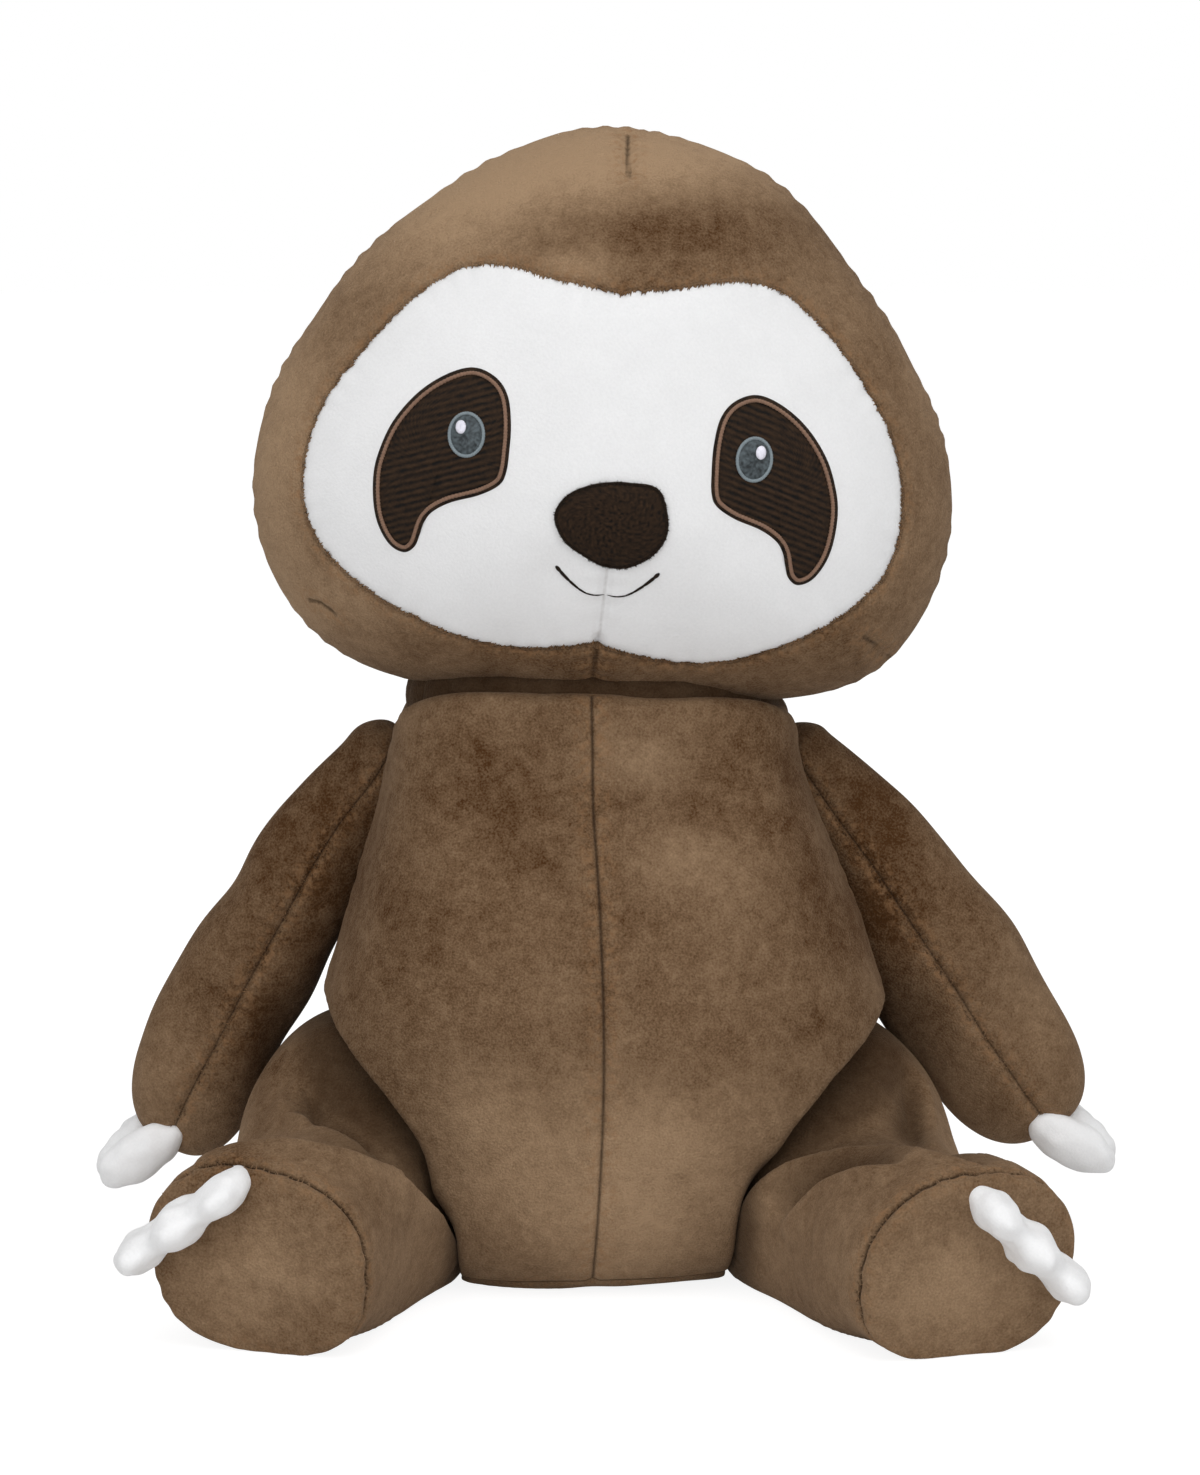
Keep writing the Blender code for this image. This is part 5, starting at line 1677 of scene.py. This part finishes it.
class SLOTH_OT_head(bpy.types.Operator):
    """Make the head: front and back cover, face, stuffing and the pile's edge."""

    bl_idname = "sloth.head"
    bl_label = "Head"

    def execute(self, context):
        sizes = context.scene.sloth_sizes
        clear_pieces("Head")
        rings = FACE_RINGS + BAND_RINGS + BACK_RINGS
        bm, core = stuffed(HEAD_SPOKES, rings, head_place, head_panel, HEAD_SLACK)
        soften(bm, *UNEVEN["head"])
        for line in seam_line(bm, 1, 2):
            sew(bm, line, depth=0.7, width=0.9, pucker=0.9, shut=0.0002)
        for line in seam_line(bm, 0, 1):
            edge = line
            sew(bm, line, depth=0.5, width=0.9, pucker=0.5, shut=0.0008, holes=0)
        bmesh.ops.transform(bm, matrix=HEAD_PLACE, verts=bm.verts[:])
        bm.normal_update()
        for pixels, depth in ((CHIN_SEAM, 0.6), (CROWN_DART, 0.9)):
            sew(bm, on_photo(bm, pixels), depth=depth, width=0.8, pucker=0.8, holes=0.6)
        for pixels in CHEEK_DARTS:
            sew(bm, on_photo(bm, pixels), depth=0.8, pucker=0.6, tapered=True)
        bmesh.ops.transform(bm, matrix=HEAD_PLACE.inverted(), verts=bm.verts[:])
        bm.normal_update()
        muzzle = BVHTree.FromBMesh(bm)
        points = []
        for index in range(MUZZLE_SEAM_STEPS + 1):
            aside = MUZZLE_SHIFT - MUZZLE_SEAM_ASIDE * index / MUZZLE_SEAM_STEPS
            z = HEAD_RISE - MUZZLE_SEAM_DROP - MUZZLE_SEAM_LONG * index / MUZZLE_SEAM_STEPS
            start = Vector((HEAD_ASIDE + aside, -0.3, z))
            points.append(muzzle.ray_cast(start, Vector((0, 1, 0)))[0])
        sew(bm, points, depth=0.75, width=0.9, pucker=0.3)
        FORMS["head_tree"] = BVHTree.FromBMesh(bm)
        fill = drawn_in(core, sizes.cloth + sizes.fill_gap)
        core.free()
        specs = (
            ("Head_face", "white_plush", "face_panel"),
            ("Head_front_cover", "brown_pile", "head_front_cover"),
            ("Head_back_cover", "brown_pile", "head_back_cover"),
        )
        make_panels(bm, specs, "head", HEAD_PLACE)
        make_piece(
            "Head_stuffing", fill, "fibre_fill", "head", "head_stuffing", HEAD_PLACE,
        )
        self.pile_edge(edge, sizes.pile)
        return {"FINISHED"}

    @staticmethod
    def pile_edge(line, long):
        """The brown pile that stands over the edge of the white face."""
        tree = FORMS["head_tree"]
        middle = Vector((HEAD_ASIDE, 0, HEAD_RISE - FACE_MIDDLE_DROP))

        def lean(point):
            inward = middle - point
            inward.y = 0
            _, normal, _, _ = tree.find_nearest(point)
            inward -= normal * inward.dot(normal)
            return inward.normalized() + normal * 0.32

        seated = []
        for point in line:
            near, normal, _, _ = tree.find_nearest(point)
            seated.append(near - lean(point) * 0.0001 + normal * 0.0001)
        bm = tufts(seated, lean, long, 21, *FACE_TUFTS)
        tone_all(bm, "seam_near", FACE_TUFT_TONE)
        make_piece("Head_pile_edge", bm, "brown_pile", "head", place=HEAD_PLACE)


def on_head(x, z, lift):
    """A point over the head's front, from the middle of the head."""
    start = Vector((x + HEAD_ASIDE, -0.3, z + HEAD_RISE))
    hit = FORMS["head_tree"].ray_cast(start, Vector((0, 1, 0)))[0]
    return hit + Vector((0, -lift, 0))


def rounded_outline(outline, count):
    """An outline's corners drawn through by a smooth closed curve of so many points."""
    last = len(outline)
    found = []
    for index in range(count):
        at = index / count * last
        first, way = int(at), at - int(at)
        p = [Vector(outline[(first + step) % last]) for step in (-1, 0, 1, 2)]
        square, cube = way**2, way**3
        point = p[1] * (1.5 * cube - 2.5 * square + 1)
        point += p[2] * (2 * square - 1.5 * cube + 0.5 * way)
        point += p[0] * (square - 0.5 * cube - 0.5 * way) + p[3] * (0.5 * cube - 0.5 * square)
        found.append(point)
    return found


def narrowed(outline, inset):
    """A closed outline moved in, square to its own run."""
    count = len(outline)
    found = []
    for index, point in enumerate(outline):
        along = outline[(index + 1) % count] - outline[index - 1]
        along.normalize()
        found.append(point + Vector((along.y, -along.x)) * inset)
    return found


def stitched_pad(outline, middle, rings, lift, deep, dome, ribs):
    """A closed pad of stitches over an outline: thin at its rim, with a pattern of ribs.

    ribs(x, z, way out) gives a height and a thread value.
    """
    count = len(outline)
    bm = ball(count, 2 * rings)
    rows = bm.verts.layers.float.new("thread")
    for vert in bm.verts:
        ring = round(ring_of(vert.co, 2 * rings))
        front = ring <= rings
        way = (ring if front else 2 * rings - ring) / rings
        index = round(math.atan2(vert.co.y, vert.co.x) / FULL_TURN * count) % count
        x, z = middle + (outline[index] - middle) * way
        height, value = ribs(x, z, way)
        stand = deep * (1 - way**6) + dome * (1 - way**2) + height if front else 0
        vert.co = on_head(x, z, lift + max(stand, 0.00002 if front and way < 1 else 0))
        vert[rows] = value
    bmesh.ops.recalc_face_normals(bm, faces=bm.faces[:])
    return bm


class SLOTH_OT_eyes(bpy.types.Operator):
    """Embroider both eyes: patch, trim, iris and glint."""

    bl_idname = "sloth.eyes"
    bl_label = "Eyes"

    def execute(self, context):
        pitch = context.scene.sloth_sizes.stitch_pitch
        for side, sign in SIDES.items():
            clear_pieces(side.capitalize() + "Eye")
            middle = Vector((EYES_SHIFT + sign * EYE_ASIDE, -EYE_DROP - EYE_SINK[side]))
            half_width, half_height = EYE_HALF_WIDTH[side], EYE_HALF_HEIGHT[side]
            corners = [
                (middle.x + sign * across * half_width, middle.y + up * half_height)
                for across, up in PATCH_OUTLINE_SHARES
            ]
            outline = rounded_outline(corners, OUTLINE_POINTS)

            def rows(x, z, way):
                slant = z + THREAD_SLANT * x * sign
                wave = math.cos(FULL_TURN * slant / pitch)
                rim = max(0, 1 - (1 - way) * 14)
                cross = math.cos(FULL_TURN * math.atan2(z - middle.y, x - middle.x) * 26)
                fleck = 0.5 * noise.noise(Vector((x / 0.0022, sign, slant / 0.0006)))
                value = (0.5 + 0.42 * wave + fleck) * (1 - rim) + rim * (0.5 + 0.3 * cross)
                return 0.00016 * wave * (1 - way**8), value

            patch = stitched_pad(outline, middle, 40, PATCH_LIFT, PATCH_DEEP, PATCH_DOME, rows)
            self.sew_on(patch, side, "patch", "dark_thread", "_eye_patch")
            inset = narrowed(outline, sign * TRIM_INSET)
            fine = rounded_outline([tuple(point) for point in inset[::4]], 5 * OUTLINE_POINTS)
            trim = self.wrapped(fine, TRIM_LIFT, TRIM_RADIUS, 0.14, OUTLINE_POINTS, 0.6)
            self.sew_on(trim, side, "trim", "rose_thread", "_eye_trim")
            middle = Vector((EYES_SHIFT + sign * IRIS_ASIDE, -IRIS_DROP - IRIS_SINK[side]))
            iris = self.disc(middle, IRIS_HALF_WIDTH, IRIS_HALF_HEIGHT, IRIS_LIFT, IRIS_DOME)
            self.sew_on(iris, side, "iris", "blue_thread", "_iris")
            oval = self.oval(IRIS_HALF_WIDTH, IRIS_HALF_HEIGHT, 144)
            rim = [(middle.x + x, middle.y + z) for x, z in oval]
            rim = self.wrapped(rim, RIM_LIFT, RIM_RADIUS, 0.12, 48, 0.5)
            self.sew_on(rim, side, "iris_rim", "rim_thread")
            middle = middle + Vector((sign * GLINT_ASIDE, GLINT_RISE))
            glint = self.disc(middle, GLINT_HALF_WIDTH, GLINT_HALF_HEIGHT, GLINT_LIFT, GLINT_DOME)
            self.sew_on(glint, side, "glint", "pale_thread", "_eye_glint")
        return {"FINISHED"}

    @staticmethod
    def sew_on(bm, side, part, finish_name, node_end=None):
        """Make a part of the eye a piece of the head."""
        node = None if node_end is None else side + node_end
        name = side.capitalize() + "Eye_" + part
        make_piece(name, bm, finish_name, "head", node, HEAD_PLACE)

    @staticmethod
    def oval(half_width, half_height, count):
        """So many points of an oval, from its middle."""
        turns = [FULL_TURN * index / count for index in range(count)]
        return [(half_width * math.cos(turn), half_height * math.sin(turn)) for turn in turns]

    @staticmethod
    def wrapped(outline, lift, radius, ripple, turns, tone):
        """A line that lies on the embroidery, wrapped in so many turns of thread."""
        bm = swept(
            [on_head(x, z, lift) for x, z in outline],
            lambda way: radius * (1 + ripple * math.cos(FULL_TURN * way * turns)),
            8, True, 0.7,
        )
        tone_all(bm, "thread", tone)
        return bm

    def disc(self, middle, half_width, half_height, lift, dome):
        """A small domed oval of threads that run to its middle."""
        outline = [middle + Vector(point) for point in self.oval(half_width, half_height, 72)]

        def rows(x, z, way):
            turn = math.atan2(z - middle.y, x - middle.x)
            fleck = noise.noise(Vector((x, 1, z)) / 0.0007)
            value = 0.5 + 0.9 * fleck + 0.10 * math.cos(18 * turn + 5 * way) + 0.3 * (way - 0.5)
            return 0.00008 * fleck * (1 - way**6), value

        return stitched_pad(outline, middle, 12, lift, DISC_DEEP, dome, rows)


class SLOTH_OT_muzzle(bpy.types.Operator):
    """Sew on the nose and stitch the mouth."""

    bl_idname = "sloth.muzzle"
    bl_label = "Nose and mouth"

    def execute(self, context):
        clear_pieces("Muzzle")
        middle = Vector((MUZZLE_SHIFT, -NOSE_DROP))
        corners = [
            (middle.x + across * NOSE_HALF_WIDTH, middle.y + up * NOSE_HALF_HEIGHT)
            for across, up in NOSE_OUTLINE_SHARES
        ]
        outline = rounded_outline(corners, 112)

        def felt(x, z, way):
            value = 0.5 + 0.9 * noise.noise(Vector((x, 0, z)) / 0.0007)
            return 0.00020 * (value - 0.5) * (1 - way**6), value

        nose = stitched_pad(outline, middle, 26, NOSE_LIFT, NOSE_DEEP, NOSE_DOME, felt)
        make_piece("Muzzle_nose", nose, "felt_nose", "head", "nose", HEAD_PLACE)
        rim = [on_head(x, z, FUZZ_LIFT) for x, z in narrowed(outline, FUZZ_INSET)]
        rim.append(rim[0])
        centre = on_head(middle.x, middle.y, 0)

        def outward(point):
            way = point - centre
            way.y = 0
            return way.normalized() * 0.8 + Vector((0, -0.5, 0))

        bm = tufts(rim, outward, NOSE_TUFT_LONG, 22, *NOSE_TUFTS)
        tone_all(bm, "thread", 0.35)
        make_piece("Muzzle_nose_fuzz", bm, "felt_nose", "head", place=HEAD_PLACE)

        def radius(way):
            """Thicker at the corner, round at both ends and drawn in between the stitches."""
            ends = min(1, 6 * way + 0.3, 14 * (1 - way) + 0.5)
            stitches = 1 - 0.25 * max(0, math.cos(FULL_TURN * way * MOUTH_STITCHES)) ** 6
            return (MOUTH_RADIUS + MOUTH_THICKER * way**2) * ends * stitches

        for side, sign in SIDES.items():
            xs = [MUZZLE_SHIFT + sign * across * MOUTH_HALF_WIDTH for across, _ in MOUTH_SHARES]
            zs = [-MOUTH_DROP - down * MOUTH_SAG for _, down in MOUTH_SHARES]
            points = []
            for index in range(91):
                at = index / 90 * (len(MOUTH_SHARES) - 1)
                points.append(on_head(steady_at(xs, at), steady_at(zs, at), MOUTH_LIFT))
            bm = swept(points, radius, 10, False, 0.75)
            tone_all(bm, "thread", 0.3)
            make_piece(
                "Muzzle_" + side + "_mouth", bm, "dark_thread", "head",
                side + "_mouth_stitch", HEAD_PLACE,
            )
        return {"FINISHED"}


class SLOTH_OT_stage(bpy.types.Operator):
    """Set the floor, the lamps, the sky and the camera."""

    bl_idname = "sloth.stage"
    bl_label = "Stage"

    def execute(self, context):
        scene = context.scene
        clear_pieces("Stage")
        self.floor()
        self.sky(scene)
        for name, place, size, power in LAMPS:
            data = bpy.data.lights.new(name, "AREA")
            data.size = size
            data.energy = power
            lamp = linked(name, data)
            lamp.location = place
            way = LIT_PLACE - Vector(place)
            lamp.rotation_euler = way.to_track_quat("-Z", "Y").to_euler()
        data = bpy.data.cameras.new("Stage_camera")
        data.sensor_width = SENSOR_MM
        data.lens = PIXELS_PER_LENGTH / PHOTO_HIGH * SENSOR_MM
        data.clip_start, data.clip_end = 0.05, 50
        camera = linked("Stage_camera", data)
        camera.location = CAMERA_PLACE
        way = CAMERA_TARGET - CAMERA_PLACE
        camera.rotation_euler = way.to_track_quat("-Z", "Y").to_euler()
        scene.camera = camera
        scene.view_settings.view_transform = "Standard"
        return {"FINISHED"}

    @staticmethod
    def seen(tree):
        """1 for what the camera sees, also by a reflection or through glass."""
        path = add(tree, "ShaderNodeLightPath")
        total = path.outputs["Is Camera Ray"]
        for name in ("Is Glossy Ray", "Is Transmission Ray"):
            total = sum_of(tree, "MAXIMUM", total, path.outputs[name])
        return total

    def floor(self):
        """A white floor that keeps a soft shadow."""
        bm = bmesh.new()
        bmesh.ops.create_grid(bm, x_segments=1, y_segments=1, size=FLOOR_HALF_SIZE)
        mesh = mesh_from("Stage_floor", bm)
        bm.free()
        floor = linked("Stage_floor", mesh)
        floor.location.z = FLOOR_HEIGHT
        material = bpy.data.materials.new("Stage_floor")
        material.use_nodes = True
        tree = material.node_tree
        shader = tree.nodes["Principled BSDF"]
        shader.inputs["Base Color"].default_value = (*FLOOR_COLOUR, 1)
        shader.inputs["Roughness"].default_value = 0.9
        glow = add(tree, "ShaderNodeEmission", {"Strength": FLOOR_GLOW})
        glowing = sum_of(tree, "MULTIPLY", self.seen(tree), FLOOR_GLOW_SHARE)
        inputs = {0: glowing, 1: shader.outputs[0], 2: glow.outputs[0]}
        both = add(tree, "ShaderNodeMixShader", inputs)
        out = tree.nodes["Material Output"]
        tree.links.new(both.outputs[0], out.inputs["Surface"])
        mesh.materials.append(material)

    def sky(self, scene):
        """White where it is seen, and a plain fill light elsewhere."""
        world = scene.world or bpy.data.worlds.new("Stage_sky")
        scene.world = world
        world.use_nodes = True
        tree = world.node_tree
        tree.nodes.clear()
        strength = add(tree, "ShaderNodeMapRange", {0: self.seen(tree), 3: SKY_FILL, 4: 1.0})
        inputs = {"Color": (1, 1, 1, 1), "Strength": strength.outputs[0]}
        back = add(tree, "ShaderNodeBackground", inputs)
        out = add(tree, "ShaderNodeOutputWorld")
        tree.links.new(back.outputs[0], out.inputs["Surface"])


class SLOTH_PT_panel(bpy.types.Panel):
    """The toy's steps and sizes, in the sidebar."""

    bl_idname = "SLOTH_PT_panel"
    bl_label = "Plush Sloth"
    bl_space_type = "VIEW_3D"
    bl_region_type = "UI"
    bl_category = "Sloth"

    def draw(self, context):
        """List the steps, then the sizes and colours."""
        layout = self.layout
        for step in STEPS:
            layout.operator(step.bl_idname)
        for group in (context.scene.sloth_sizes, context.scene.sloth_colours):
            box = layout.box()
            for name in group.__annotations__:
                box.prop(group, name)


STEPS = (
    SLOTH_OT_stage, SLOTH_OT_legs, SLOTH_OT_arms, SLOTH_OT_claws, SLOTH_OT_torso,
    SLOTH_OT_neck, SLOTH_OT_head, SLOTH_OT_eyes, SLOTH_OT_muzzle,
)
CLASSES = (SlothSizes, SlothColours, *STEPS, SLOTH_PT_panel)


def register():
    """Register the classes and hang the groups on the scene."""
    for item in CLASSES:
        bpy.utils.register_class(item)
    bpy.types.Scene.sloth_sizes = bpy.props.PointerProperty(type=SlothSizes)
    bpy.types.Scene.sloth_colours = bpy.props.PointerProperty(type=SlothColours)


def unregister():
    """Take the groups off the scene and drop the classes."""
    del bpy.types.Scene.sloth_colours
    del bpy.types.Scene.sloth_sizes
    for item in reversed(CLASSES):
        bpy.utils.unregister_class(item)


def main():
    """Register the classes and run the steps in order."""
    register()
    for step in STEPS:
        group, name = step.bl_idname.split(".")
        getattr(getattr(bpy.ops, group), name)()


if __name__ == "__main__":
    main()
